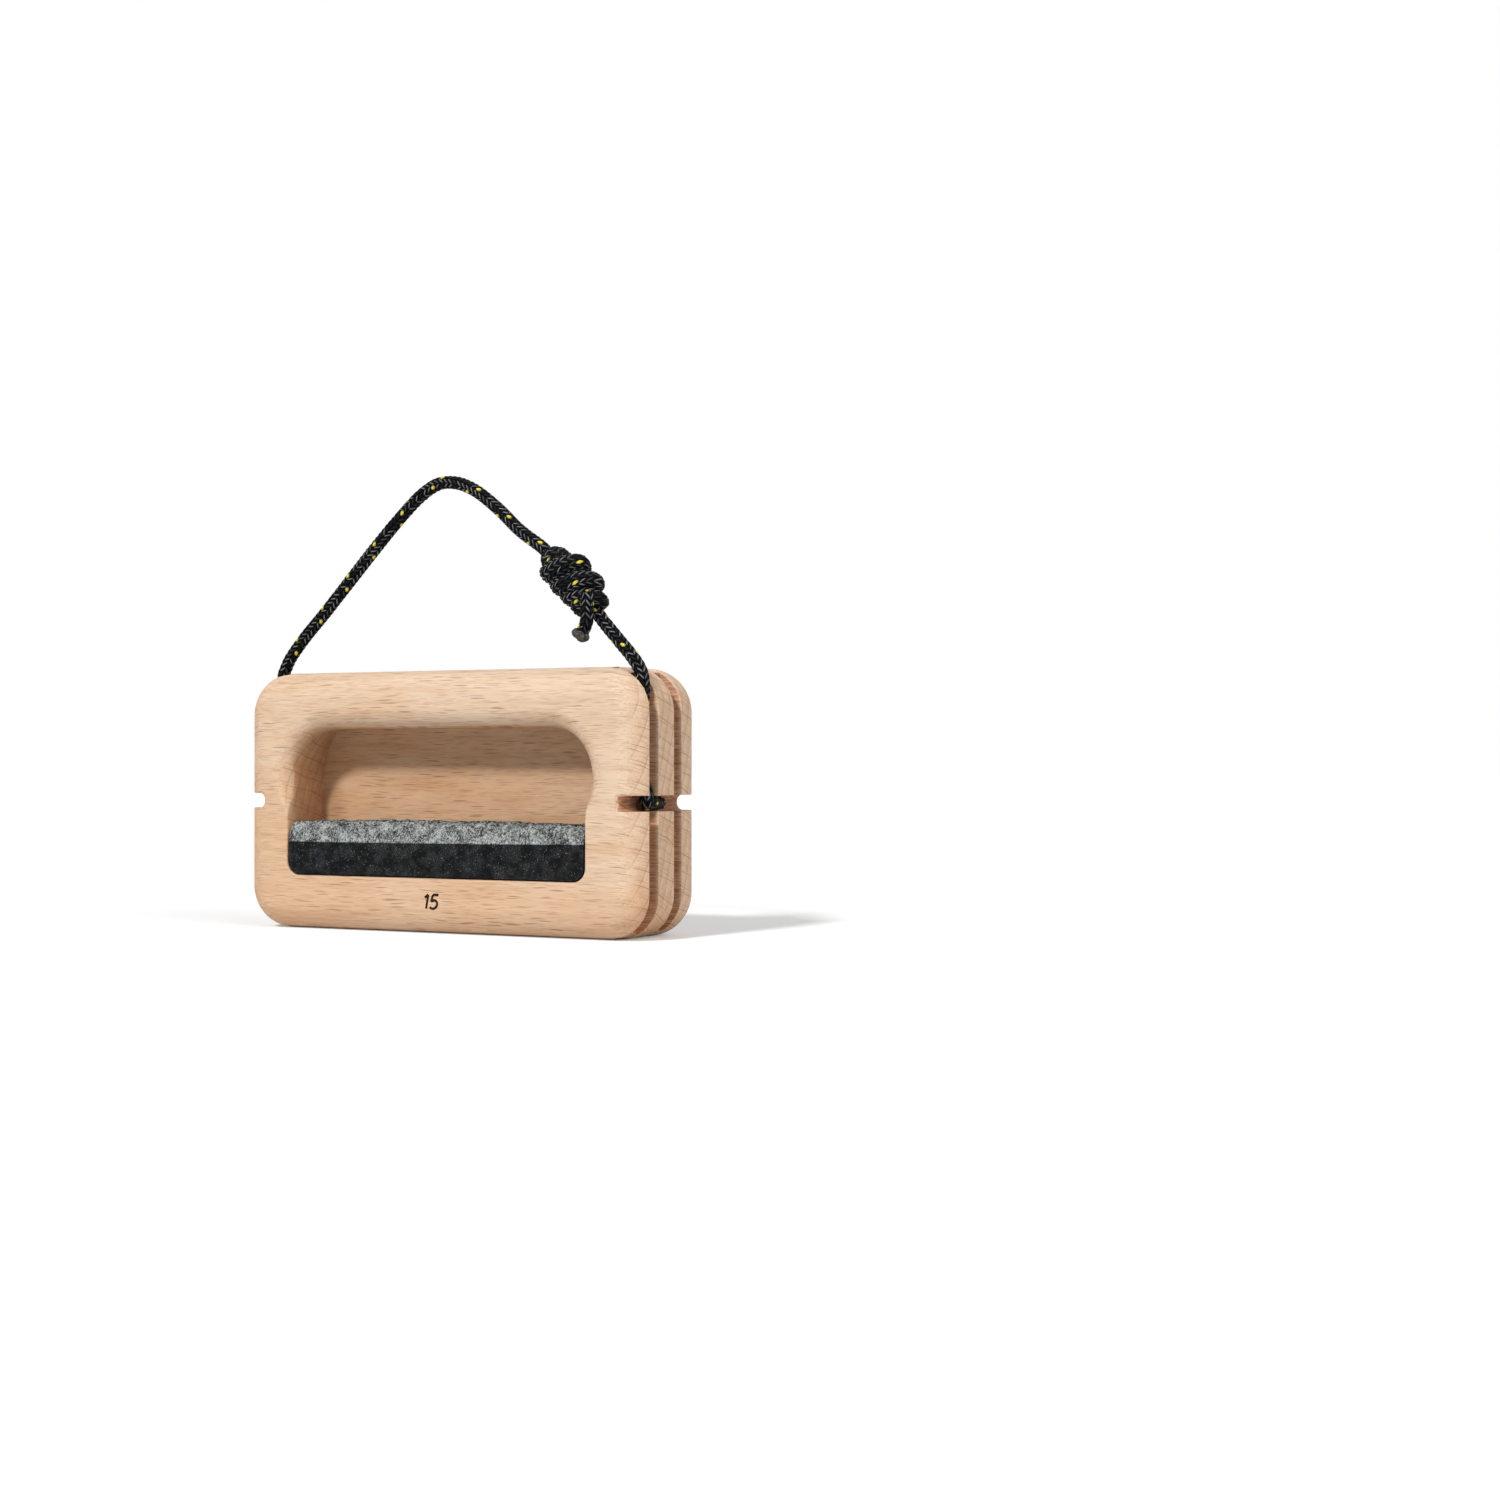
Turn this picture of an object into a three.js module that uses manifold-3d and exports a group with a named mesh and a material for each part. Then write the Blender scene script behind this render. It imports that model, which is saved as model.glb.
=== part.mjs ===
// A small portable hangboard: a block of pale wood with a finger pocket in its
// front, a stone edge set into the pocket's floor, and a loop of round cord that
// runs through a lengthwise bore and up the end grooves to a knot.
// Millimetres, +Z up. X runs along the block, the pocket opens towards -Y, and
// the origin is the middle of the block's underside.
import * as THREE from 'three';
import * as BufferGeometryUtils from 'three/addons/utils/BufferGeometryUtils.js';
import Module from 'manifold-3d';

const wasm = await Module();
wasm.setup();

// Wooden block
const blockLength = 120;
const blockDepth = 30;
const blockHeight = 66;
const cornerRadius = 11;
const edgeRound = 7.2;

// Finger pocket, open to the front
const pocketWidth = 89.6;
const pocketShift = -0.6;
const pocketFloor = 14;
const pocketTop = 51.4;
const pocketDepth = 15;
const pocketUpperRadius = 12;
const pocketLowerRadius = 3.5;
const pocketLowEase = 0.6;
const pocketHighEase = 5.3;
const easeStart = 29.5;
const easeFull = 38;

// Stone edge on the pocket's floor
const stoneGap = 0.3;
const stoneRim = 13.8;
const stoneRimShares = [0.978, 1, 1.022, 1.007, 1.014, 0.993, 0.978];
const stonePolished = 8.55;
const stonePolishedShares = [0.985, 0.985, 0.99, 1, 1.01, 1.03, 1.05];
const stoneNose = 2.7;
const stoneNoseShares = [[0, 0], [0.22, 0.62], [0.55, 0.88], [1, 1]];
const stoneBackDrop = 0.25;

// Cord and the clearances that it runs in
const cordDiameter = 3.2;
const cordGap = 0.3;
const groovePlay = 0.25;
const endGap = 0.3;

// End grooves, notches and bore
const grooveDepth = 6.3;
const frontGrooveY = -8.4;
const rearGrooveY = 2.8;
const grooveCornerRadius = 1.2;
const notchHeight = 33;
const notchDepth = 6.6;
const notchCornerRadius = 1.8;
const notchEase = 1.35;
const boreY = 3.1;

// Cord's route along the right notch, up the grooves and out of them
const sweepReach = 1.6;
const notchBow = 1.65;
const turnBow = 2.1;
const heldTop = 44;
const exitRise = 2;
const leftExitInset = 1.1;
const leftExitForward = 1.5;
const rightExitInset = 6.1;

// Loop above the block
const loopRise = 45.8;
const knotSpanShare = 0.8347;
const knotRiseShare = 0.4192;
const knotAngle = THREE.MathUtils.degToRad(45.2);

// Knot: two barrels of wraps, and the cord's two tails
const barrelLength = 9.9;
const wrapPitch = 4.8;
const wrapCentreRadius = 3.7;
const wrapHeight = 1.6;
const wrapFlatShare = 1.02;
const barrelMouthRadius = 2.6;
const barrelShoulder = 1.5;
const knotLeanShare = 0.25;
const tailEndRadius = 2.25;
const tailEndThickness = 1.1;

// Overrun of every cutter past the face that it opens
const overrun = 1;

// Resolution, as counts
const cornerSteps = 8;
const sideSteps = 9;
const easeSteps = 5;
const cordSides = 8;
const boreSides = 16;
const sphereSides = 10;
const sphereRings = 6;
const stoneStations = 24;
const barrelSides = 20;
const barrelStations = 18;
const weldDistance = 1e-5;

const halfLength = blockLength / 2;
const halfDepth = blockDepth / 2;
const cordRadius = cordDiameter / 2;
const grooveWidth = cordDiameter + groovePlay * 2;
const notchOpening = cordDiameter + cordGap * 2;
const boreRadius = cordRadius + cordGap;
const grooveFloor = halfLength - grooveDepth;
const cordLine = grooveFloor + cordRadius + cordGap;

function material(color, roughness, metalness = 0) {
  return new THREE.MeshStandardMaterial({ color, roughness, metalness });
}

// A closed three.js geometry as a manifold solid.
function toSolid(geometry) {
  const bare = geometry.clone();
  bare.deleteAttribute('normal');
  bare.deleteAttribute('uv');
  const merged = BufferGeometryUtils.mergeVertices(bare, weldDistance);
  return new wasm.Manifold(new wasm.Mesh({
    numProp: 3,
    vertProperties: new Float32Array(merged.attributes.position.array),
    triVerts: new Uint32Array(merged.index.array),
  }));
}

// A manifold solid as a three.js geometry.
function toGeometry(solid) {
  const mesh = solid.getMesh();
  const geometry = new THREE.BufferGeometry();
  geometry.setAttribute('position', new THREE.BufferAttribute(mesh.vertProperties, 3));
  geometry.setIndex(new THREE.BufferAttribute(mesh.triVerts, 1));
  geometry.computeVertexNormals();
  return geometry;
}

// Six times the volume that an indexed mesh encloses, with its sign.
function signedVolume(points, indices) {
  let total = 0;
  for (let corner = 0; corner < indices.length; corner += 3) {
    const a = points[indices[corner]];
    const b = points[indices[corner + 1]];
    const c = points[indices[corner + 2]];
    total += a.dot(b.clone().cross(c));
  }
  return total;
}

// A closed solid through rings of equal count, its two ends closed by fans.
function loftRings(rings) {
  const count = rings[0].length;
  const points = rings.flat();
  const indices = [];
  for (let ring = 0; ring + 1 < rings.length; ring += 1) {
    for (let side = 0; side < count; side += 1) {
      const next = (side + 1) % count;
      const a = ring * count + side;
      const b = ring * count + next;
      indices.push(a, b, b + count, a, b + count, a + count);
    }
  }
  for (const end of [0, rings.length - 1]) {
    const middle = points.length;
    const centre = new THREE.Vector3();
    rings[end].forEach((point) => centre.add(point));
    points.push(centre.divideScalar(count));
    for (let side = 0; side < count; side += 1) {
      const a = end * count + side;
      const b = end * count + ((side + 1) % count);
      if (end === 0) {
        indices.push(middle, b, a);
      } else {
        indices.push(middle, a, b);
      }
    }
  }
  if (signedVolume(points, indices) < 0) {
    indices.reverse();
  }
  const geometry = new THREE.BufferGeometry();
  geometry.setFromPoints(points);
  geometry.setIndex(indices);
  return geometry;
}

// Points of a rounded rectangle in the XZ plane, each with its outward normal.
// The sides between the corners are divided too, so that an offset can vary.
function roundedOutline(left, right, bottom, top, lowerRadius, upperRadius) {
  const corners = [
    [right - lowerRadius, bottom + lowerRadius, lowerRadius, -Math.PI / 2],
    [right - upperRadius, top - upperRadius, upperRadius, 0],
    [left + upperRadius, top - upperRadius, upperRadius, Math.PI / 2],
    [left + lowerRadius, bottom + lowerRadius, lowerRadius, Math.PI],
  ];
  const arcs = corners.map(([x, z, radius, start]) => {
    const arc = [];
    for (let step = 0; step <= cornerSteps; step += 1) {
      const angle = start + (Math.PI / 2) * (step / cornerSteps);
      const normal = new THREE.Vector2(Math.cos(angle), Math.sin(angle));
      arc.push({ at: new THREE.Vector2(x, z).addScaledVector(normal, radius), normal });
    }
    return arc;
  });
  const outline = [];
  arcs.forEach((arc, index) => {
    outline.push(...arc);
    const from = arc[cornerSteps];
    const to = arcs[(index + 1) % arcs.length][0];
    for (let step = 1; step < sideSteps; step += 1) {
      const share = step / sideSteps;
      outline.push({ at: from.at.clone().lerp(to.at, share), normal: from.normal });
    }
  });
  return outline;
}

// One ring of an outline at depth y, grown outwards by a length or a function.
function ringOf(outline, grow, y) {
  return outline.map((point) => {
    const offset = typeof grow === 'function' ? grow(point) : grow;
    const depth = typeof y === 'function' ? y(point) : y;
    const at = point.at.clone().addScaledVector(point.normal, offset);
    return new THREE.Vector3(at.x, depth, at.y);
  });
}

// The round section of the cord.
function cordSection(radius) {
  const corners = [];
  for (let side = 0; side < cordSides; side += 1) {
    const angle = (2 * Math.PI * side) / cordSides;
    corners.push(new THREE.Vector2(Math.cos(angle), Math.sin(angle)).multiplyScalar(radius));
  }
  return new THREE.Shape(corners);
}

function cordAlong(path, steps, radius = cordRadius) {
  return new THREE.ExtrudeGeometry(cordSection(radius), {
    steps,
    extrudePath: path,
    bevelEnabled: false,
  });
}

function smoothPath(points) {
  return new THREE.CatmullRomCurve3(points, false, 'centripetal');
}

// A ball at a joint, so that the cord keeps its round end as it turns.
function ballAt(point, radius = cordRadius) {
  const ball = new THREE.SphereGeometry(radius, sphereSides, sphereRings);
  return ball.translate(point.x, point.y, point.z);
}

const object = new THREE.Group();

function add(name, geometry, look) {
  const mesh = new THREE.Mesh(geometry, look);
  mesh.name = name;
  object.add(mesh);
  return mesh;
}

// Wooden body: a rounded block less its pocket, notches, grooves and bore
const blockOutline = roundedOutline(
  -halfLength,
  halfLength,
  0,
  blockHeight,
  cornerRadius,
  cornerRadius,
);

const frontRings = [];
const rearRings = [];
for (let step = 0; step <= easeSteps; step += 1) {
  const angle = (Math.PI / 2) * (step / easeSteps);
  const inset = edgeRound * (1 - Math.sin(angle));
  const back = edgeRound * (1 - Math.cos(angle));
  frontRings.push(ringOf(blockOutline, -inset, back - halfDepth));
  rearRings.unshift(ringOf(blockOutline, -inset, halfDepth - back));
}
let body = toSolid(loftRings([...frontRings, ...rearRings]));

const pocketLeft = pocketShift - pocketWidth / 2;
const pocketRight = pocketShift + pocketWidth / 2;
const pocketBack = pocketDepth - halfDepth;
const pocketOutline = roundedOutline(
  pocketLeft,
  pocketRight,
  pocketFloor,
  pocketTop,
  pocketLowerRadius,
  pocketUpperRadius,
);

// The pocket's mouth is rounded over, fully above the stone and hardly beside it.
function pocketEase(point) {
  const blend = THREE.MathUtils.smoothstep(point.at.y, easeStart, easeFull);
  return THREE.MathUtils.lerp(pocketLowEase, pocketHighEase, blend);
}

const pocketRings = [ringOf(pocketOutline, pocketEase, -halfDepth - overrun)];
for (let step = 0; step <= easeSteps; step += 1) {
  const angle = (Math.PI / 2) * (step / easeSteps);
  pocketRings.push(ringOf(
    pocketOutline,
    (point) => pocketEase(point) * (1 - Math.sin(angle)),
    (point) => pocketEase(point) * (1 - Math.cos(angle)) - halfDepth,
  ));
}
pocketRings.push(ringOf(pocketOutline, 0, pocketBack));
body = body.subtract(toSolid(loftRings(pocketRings)));

const notchFloor = halfLength - notchDepth;
for (const side of [-1, 1]) {
  // The notch crosses the end from front to rear, eased at both mouths.
  const near = Math.min(side * notchFloor, side * (halfLength + notchDepth));
  const far = Math.max(side * notchFloor, side * (halfLength + notchDepth));
  const notchOutline = roundedOutline(
    near,
    far,
    notchHeight - notchOpening / 2,
    notchHeight + notchOpening / 2,
    notchCornerRadius,
    notchCornerRadius,
  );
  const notchRings = [ringOf(notchOutline, notchEase, -halfDepth - overrun)];
  for (let step = 0; step <= easeSteps; step += 1) {
    const angle = (Math.PI / 2) * (step / easeSteps);
    const grow = notchEase * (1 - Math.sin(angle));
    const back = notchEase * (1 - Math.cos(angle));
    notchRings.push(ringOf(notchOutline, grow, back - halfDepth));
  }
  for (let step = easeSteps; step >= 0; step -= 1) {
    const angle = (Math.PI / 2) * (step / easeSteps);
    const grow = notchEase * (1 - Math.sin(angle));
    const back = notchEase * (1 - Math.cos(angle));
    notchRings.push(ringOf(notchOutline, grow, halfDepth - back));
  }
  notchRings.push(ringOf(notchOutline, notchEase, halfDepth + overrun));
  body = body.subtract(toSolid(loftRings(notchRings)));

  // Each groove runs the full height of the end, its floor's corners rounded.
  for (const centre of [frontGrooveY, rearGrooveY]) {
    const half = grooveWidth / 2;
    const section = new THREE.Shape();
    section.moveTo(side * (halfLength + overrun), centre - half);
    section.lineTo(side * (grooveFloor + grooveCornerRadius), centre - half);
    section.quadraticCurveTo(
      side * grooveFloor,
      centre - half,
      side * grooveFloor,
      centre - half + grooveCornerRadius,
    );
    section.lineTo(side * grooveFloor, centre + half - grooveCornerRadius);
    section.quadraticCurveTo(
      side * grooveFloor,
      centre + half,
      side * (grooveFloor + grooveCornerRadius),
      centre + half,
    );
    section.lineTo(side * (halfLength + overrun), centre + half);
    const groove = new THREE.ExtrudeGeometry(section, {
      depth: blockHeight + overrun * 2,
      bevelEnabled: false,
      curveSegments: easeSteps,
    });
    groove.translate(0, 0, -overrun);
    body = body.subtract(toSolid(groove));
  }
}

const bore = new THREE.CylinderGeometry(
  boreRadius,
  boreRadius,
  (notchFloor + overrun) * 2,
  boreSides,
);
bore.rotateZ(Math.PI / 2);
bore.translate(0, boreY, notchHeight);
body = body.subtract(toSolid(bore));
add('wooden_body', toGeometry(body), material(0xd9b48f, 0.55));

// Stone edge: a polished front, a rough rounded nose and a nearly level top
function alongShares(shares, share) {
  const place = share * (shares.length - 1);
  const low = Math.min(Math.floor(place), shares.length - 2);
  return THREE.MathUtils.lerp(shares[low], shares[low + 1], place - low);
}

const stoneBase = pocketFloor + stoneGap;
const stoneFront = -halfDepth;
const stoneBack = pocketBack - stoneGap;
const stoneRings = [];
for (let station = 0; station <= stoneStations; station += 1) {
  const share = station / stoneStations;
  const x = THREE.MathUtils.lerp(pocketLeft - overrun, pocketRight + overrun, share);
  const rim = pocketFloor + stoneRim * alongShares(stoneRimShares, share);
  const polished = pocketFloor + stonePolished * alongShares(stonePolishedShares, share);
  const profile = stoneNoseShares.map(([backShare, riseShare]) => new THREE.Vector3(
    x,
    stoneFront + stoneNose * backShare,
    THREE.MathUtils.lerp(polished, rim, riseShare),
  ));
  stoneRings.push([
    new THREE.Vector3(x, stoneBack, stoneBase),
    new THREE.Vector3(x, stoneFront, stoneBase),
    ...profile,
    new THREE.Vector3(x, stoneBack, rim - stoneBackDrop),
  ]);
}
const stoneSocket = loftRings([
  ringOf(pocketOutline, -stoneGap, stoneFront - overrun),
  ringOf(pocketOutline, -stoneGap, stoneBack + overrun),
]);
const stone = toSolid(loftRings(stoneRings)).intersect(toSolid(stoneSocket));
add('stone_edge', toGeometry(stone), material(0x2b2c2c, 0.4));

// Cord held by the block: down the left rear groove, through the bore, forward
// along the right notch and up the right front groove
const cordLook = () => material(0x17181a, 0.85);

function groovePoint(side, y, z) {
  return new THREE.Vector3(side * cordLine, y, z);
}

const leftBend = new THREE.CurvePath();
const leftTurnTop = groovePoint(-1, rearGrooveY, notchHeight + cordRadius + cordGap);
const leftTurnCorner = groovePoint(-1, rearGrooveY, notchHeight);
const leftTurnEnd = new THREE.Vector3(-grooveFloor, boreY, notchHeight);
const leftBoreMouth = new THREE.Vector3(-notchFloor, boreY, notchHeight);
const boreLeftInner = new THREE.Vector3(cordDiameter - notchFloor, boreY, notchHeight);
leftBend.add(new THREE.LineCurve3(groovePoint(-1, rearGrooveY, heldTop), leftTurnTop));
leftBend.add(new THREE.QuadraticBezierCurve3(leftTurnTop, leftTurnCorner, leftTurnEnd));
leftBend.add(new THREE.LineCurve3(leftTurnEnd, leftBoreMouth));
leftBend.add(new THREE.LineCurve3(leftBoreMouth, boreLeftInner));

const rightBend = new THREE.CurvePath();
const boreRightInner = new THREE.Vector3(notchFloor - cordDiameter, boreY, notchHeight);
const rightBoreMouth = new THREE.Vector3(notchFloor, boreY, notchHeight);
const rightSweepCorner = new THREE.Vector3(notchFloor + sweepReach, boreY, notchHeight);
const rightTurnCorner = new THREE.Vector3(cordLine + notchBow, frontGrooveY, notchHeight);
const crossing = rightTurnCorner.clone().sub(rightSweepCorner).normalize();
const rightSweepEnd = rightSweepCorner.clone().addScaledVector(crossing, sweepReach);
const turnReach = cordRadius + groovePlay;
const rightTurnStart = rightTurnCorner.clone().addScaledVector(crossing, -turnReach);
const rightTurnTop = new THREE.Vector3(
  cordLine + turnBow,
  frontGrooveY,
  notchHeight + cordRadius + cordGap,
);
const turnLead = rightTurnTop.clone().sub(rightTurnCorner);
const rightBowTop = groovePoint(1, frontGrooveY, heldTop - cordDiameter);
const bowLead = groovePoint(1, frontGrooveY, heldTop - cordDiameter * 2);
rightBend.add(new THREE.LineCurve3(boreRightInner, rightBoreMouth));
rightBend.add(new THREE.QuadraticBezierCurve3(rightBoreMouth, rightSweepCorner, rightSweepEnd));
rightBend.add(new THREE.LineCurve3(rightSweepEnd, rightTurnStart));
rightBend.add(new THREE.QuadraticBezierCurve3(rightTurnStart, rightTurnCorner, rightTurnTop));
rightBend.add(new THREE.CubicBezierCurve3(
  rightTurnTop,
  rightTurnTop.clone().add(turnLead),
  bowLead,
  rightBowTop,
));
rightBend.add(new THREE.LineCurve3(rightBowTop, groovePoint(1, frontGrooveY, heldTop)));

const boreRun = new THREE.LineCurve3(
  new THREE.Vector3(cordRadius - notchFloor, boreY, notchHeight),
  new THREE.Vector3(notchFloor - cordRadius, boreY, notchHeight),
);
const heldRun = toSolid(cordAlong(leftBend, 20))
  .add(toSolid(cordAlong(boreRun, 1)))
  .add(toSolid(cordAlong(rightBend, 30)));
add('cord_held_run', toGeometry(heldRun), cordLook());

// The loop swings about the line through the two places where it leaves the block.
const exitHeight = blockHeight + exitRise;
const leftExit = new THREE.Vector3(
  leftExitInset - halfLength,
  rearGrooveY - leftExitForward,
  exitHeight,
);
const rightExit = new THREE.Vector3(halfLength - rightExitInset, frontGrooveY, exitHeight);

// Feet of the cord, from the held run to just short of the swing line. Each row is
// a place outwards from the groove, forward of it and above the held run, counted
// in cord diameters.
const leftFootShares = [
  [0, 0, 0],
  [0.12, 0, 2.4],
  [0.7, 0, 4.1],
  [1.38, 0.04, 5.5],
  [1.55, 0.24, 6.5],
];
const rightFootShares = [
  [0, 0, 0],
  [0.1, 0, 2.7],
  [0.3, 0, 4.3],
  [0.36, 0, 5.4],
  [0.14, 0, 6.4],
];

function footPath(side, grooveY, shares, exit) {
  const points = shares.map(([out, forward, up]) => new THREE.Vector3(
    side * (cordLine + out * cordDiameter),
    grooveY - forward * cordDiameter,
    heldTop + endGap + up * cordDiameter,
  ));
  const lead = exit.clone().sub(points[points.length - 1]).normalize();
  points.push(exit.clone().addScaledVector(lead, -(cordRadius + endGap)));
  return smoothPath(points);
}

const leftFoot = footPath(-1, rearGrooveY, leftFootShares, leftExit);
const rightFoot = footPath(1, frontGrooveY, rightFootShares, rightExit);
add('cord_left_foot', cordAlong(leftFoot, 8), cordLook());
add('cord_right_foot', cordAlong(rightFoot, 8), cordLook());

// The loop's plane stands upright on the swing line. A place in it is a share of
// the span between the exits and a share of the rise above them.
const span = rightExit.clone().sub(leftExit);
const along = span.clone().normalize();
const up = new THREE.Vector3(0, 0, 1);
const front = along.clone().cross(up);

function inLoop(spanShare, riseShare) {
  return leftExit.clone()
    .addScaledVector(span, spanShare)
    .addScaledVector(up, riseShare * loopRise);
}

// The knot's own axes: along it, across it in the loop's plane, and to the front.
const knotCentre = inLoop(knotSpanShare, knotRiseShare);
const knotAxis = along.clone().multiplyScalar(Math.cos(knotAngle))
  .addScaledVector(up, -Math.sin(knotAngle));
const knotAcross = along.clone().multiplyScalar(Math.sin(knotAngle))
  .addScaledVector(up, Math.cos(knotAngle));

function atKnot(down, across, forward) {
  return knotCentre.clone()
    .addScaledVector(knotAxis, down)
    .addScaledVector(knotAcross, across)
    .addScaledVector(front, forward);
}

const knotHalf = barrelLength + endGap / 2;
const knotMouth = knotHalf + endGap;

const arcShares = [
  [0, 0], [0.0125, 0.0502], [0.0545, 0.1605], [0.1254, 0.3164], [0.1997, 0.4871],
  [0.273, 0.6552], [0.357, 0.8365], [0.4163, 0.9454], [0.4661, 0.9989], [0.5154, 0.9967],
  [0.5671, 0.9498], [0.6352, 0.8354], [0.694, 0.7127],
];
const leftLegPath = smoothPath([
  ...arcShares.map(([spanShare, riseShare]) => inLoop(spanShare, riseShare)),
  atKnot(-knotMouth - cordRadius, 0, 0),
  atKnot(-knotMouth, 0, 0),
]);
const leftLeg = toSolid(cordAlong(leftLegPath, 40)).add(toSolid(ballAt(leftExit)));
add('cord_left_leg', toGeometry(leftLeg), cordLook());

const rightLegPath = smoothPath([
  atKnot(knotMouth, 0, 0),
  atKnot(knotMouth + cordRadius, 0, 0),
  inLoop(0.9317, 0.173),
  inLoop(0.969, 0.0789),
  rightExit,
]);
const rightLeg = toSolid(cordAlong(rightLegPath, 8)).add(toSolid(ballAt(rightExit)));
add('cord_right_leg', toGeometry(rightLeg), cordLook());

// A barrel of the knot: its radius follows wraps that wind steadily along it, and
// its ends draw in to the cord. The wraps lean across the knot towards its middle.
function wrapRadius(place, turn) {
  let radius = wrapCentreRadius;
  const halfWrap = (wrapPitch / 2) * wrapFlatShare;
  for (let wrap = -1; wrap * wrapPitch < barrelLength; wrap += 1) {
    const centre = wrapPitch * (wrap + turn);
    const off = (place - centre) / halfWrap;
    if (Math.abs(off) < 1 && centre > 0 && centre < barrelLength) {
      radius = Math.max(radius, wrapCentreRadius + wrapHeight * Math.sqrt(1 - off * off));
    }
  }
  const toEnd = Math.min(place, barrelLength - place);
  const drawIn = Math.min(toEnd / barrelShoulder, 1);
  const shoulder = Math.sqrt(1 - (1 - drawIn) * (1 - drawIn));
  return THREE.MathUtils.lerp(barrelMouthRadius, radius, shoulder);
}

function barrel(from) {
  const rings = [];
  for (let station = 0; station <= barrelStations; station += 1) {
    const place = barrelLength * (station / barrelStations);
    const down = from + place;
    const lean = knotLeanShare * (1 - Math.abs(down) / knotHalf);
    const ring = [];
    for (let side = 0; side < barrelSides; side += 1) {
      const turn = side / barrelSides;
      const angle = 2 * Math.PI * turn;
      const radius = wrapRadius(place, turn);
      const across = radius * Math.cos(angle);
      ring.push(atKnot(down + lean * across, across, radius * Math.sin(angle)));
    }
    rings.push(ring);
  }
  return toSolid(loftRings(rings));
}

// Tails: places along, across and in front of the knot, in cord diameters
const frontTailShares = [
  [2.35, 0.9, 1.12],
  [2.75, 0.7, 1.2],
  [3.49, 0.01, 1.28],
  [3.98, -0.47, 1.3],
  [4.21, -0.98, 1.3],
  [4.38, -1.6, 1.36],
];
const rearTailShares = [
  [-2.35, -0.7, -1.12],
  [-2.85, -0.75, -1.3],
  [-3.3, -0.87, -1.75],
  [-3.56, -0.94, -2.3],
];

function tailPath(shares) {
  return smoothPath(shares.map(([down, across, forward]) => atKnot(
    down * cordDiameter,
    across * cordDiameter,
    forward * cordDiameter,
  )));
}

// A tail's sealed end: a flattened bead a little wider than the cord.
function beadAt(path) {
  const bead = new THREE.SphereGeometry(1, sphereSides, sphereRings);
  bead.scale(tailEndRadius, tailEndThickness, tailEndRadius);
  const turn = new THREE.Quaternion().setFromUnitVectors(
    new THREE.Vector3(0, 1, 0),
    path.getTangentAt(1),
  );
  bead.applyQuaternion(turn);
  const end = path.getPointAt(1);
  return bead.translate(end.x, end.y, end.z);
}

function tail(path) {
  return toSolid(cordAlong(path, 8)).add(toSolid(beadAt(path)));
}

const frontTailPath = tailPath(frontTailShares);
const rearTailPath = tailPath(rearTailShares);
const channelRadius = cordRadius + endGap;
const upperBarrel = barrel(-knotHalf)
  .subtract(toSolid(cordAlong(rearTailPath, 8, channelRadius)))
  .subtract(toSolid(ballAt(rearTailPath.getPointAt(0), channelRadius)));
const lowerBarrel = barrel(endGap / 2)
  .subtract(toSolid(cordAlong(frontTailPath, 8, channelRadius)))
  .subtract(toSolid(ballAt(frontTailPath.getPointAt(0), channelRadius)));
add('knot_upper_barrel', toGeometry(upperBarrel), cordLook());
add('knot_lower_barrel', toGeometry(lowerBarrel), cordLook());
add('cord_tail_front', toGeometry(tail(frontTailPath)), cordLook());
add('cord_tail_rear', toGeometry(tail(rearTailPath)), cordLook());

export default object;
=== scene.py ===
import math

import bpy
import numpy as np
from mathutils import Matrix, Vector


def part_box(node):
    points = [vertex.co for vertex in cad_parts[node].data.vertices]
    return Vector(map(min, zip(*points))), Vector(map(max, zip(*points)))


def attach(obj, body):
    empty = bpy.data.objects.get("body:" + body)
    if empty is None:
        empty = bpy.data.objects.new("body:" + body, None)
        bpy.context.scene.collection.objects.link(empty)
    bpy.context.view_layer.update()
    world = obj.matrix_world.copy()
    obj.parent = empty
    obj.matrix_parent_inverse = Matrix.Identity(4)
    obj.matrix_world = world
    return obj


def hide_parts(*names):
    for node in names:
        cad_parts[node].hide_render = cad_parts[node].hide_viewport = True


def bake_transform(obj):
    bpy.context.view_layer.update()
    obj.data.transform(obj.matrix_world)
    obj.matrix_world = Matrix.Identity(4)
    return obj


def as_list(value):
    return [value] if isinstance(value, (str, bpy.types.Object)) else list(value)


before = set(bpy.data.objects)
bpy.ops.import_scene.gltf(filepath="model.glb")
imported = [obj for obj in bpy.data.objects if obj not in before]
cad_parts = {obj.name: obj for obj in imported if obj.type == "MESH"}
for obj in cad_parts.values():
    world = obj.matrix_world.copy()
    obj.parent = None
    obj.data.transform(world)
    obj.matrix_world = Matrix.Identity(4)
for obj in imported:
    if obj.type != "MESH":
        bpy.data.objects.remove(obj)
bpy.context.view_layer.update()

# Lengths are in millimetres until a mesh is made, and metres after that.
MM = 0.001

# Block, from its CAD node's box
block_low, block_high = (np.array(corner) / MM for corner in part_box("wooden_body"))
BLOCK_LENGTH = block_high[0] - block_low[0]
BLOCK_DEPTH = block_high[1] - block_low[1]
BLOCK_HEIGHT = block_high[2] - block_low[2]
HALF_LENGTH = BLOCK_LENGTH / 2
HALF_DEPTH = BLOCK_DEPTH / 2
CORNER_RADIUS = 11
EDGE_ROUND = 7.2
WOOD_SHARP_ANGLE = math.radians(32)

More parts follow.
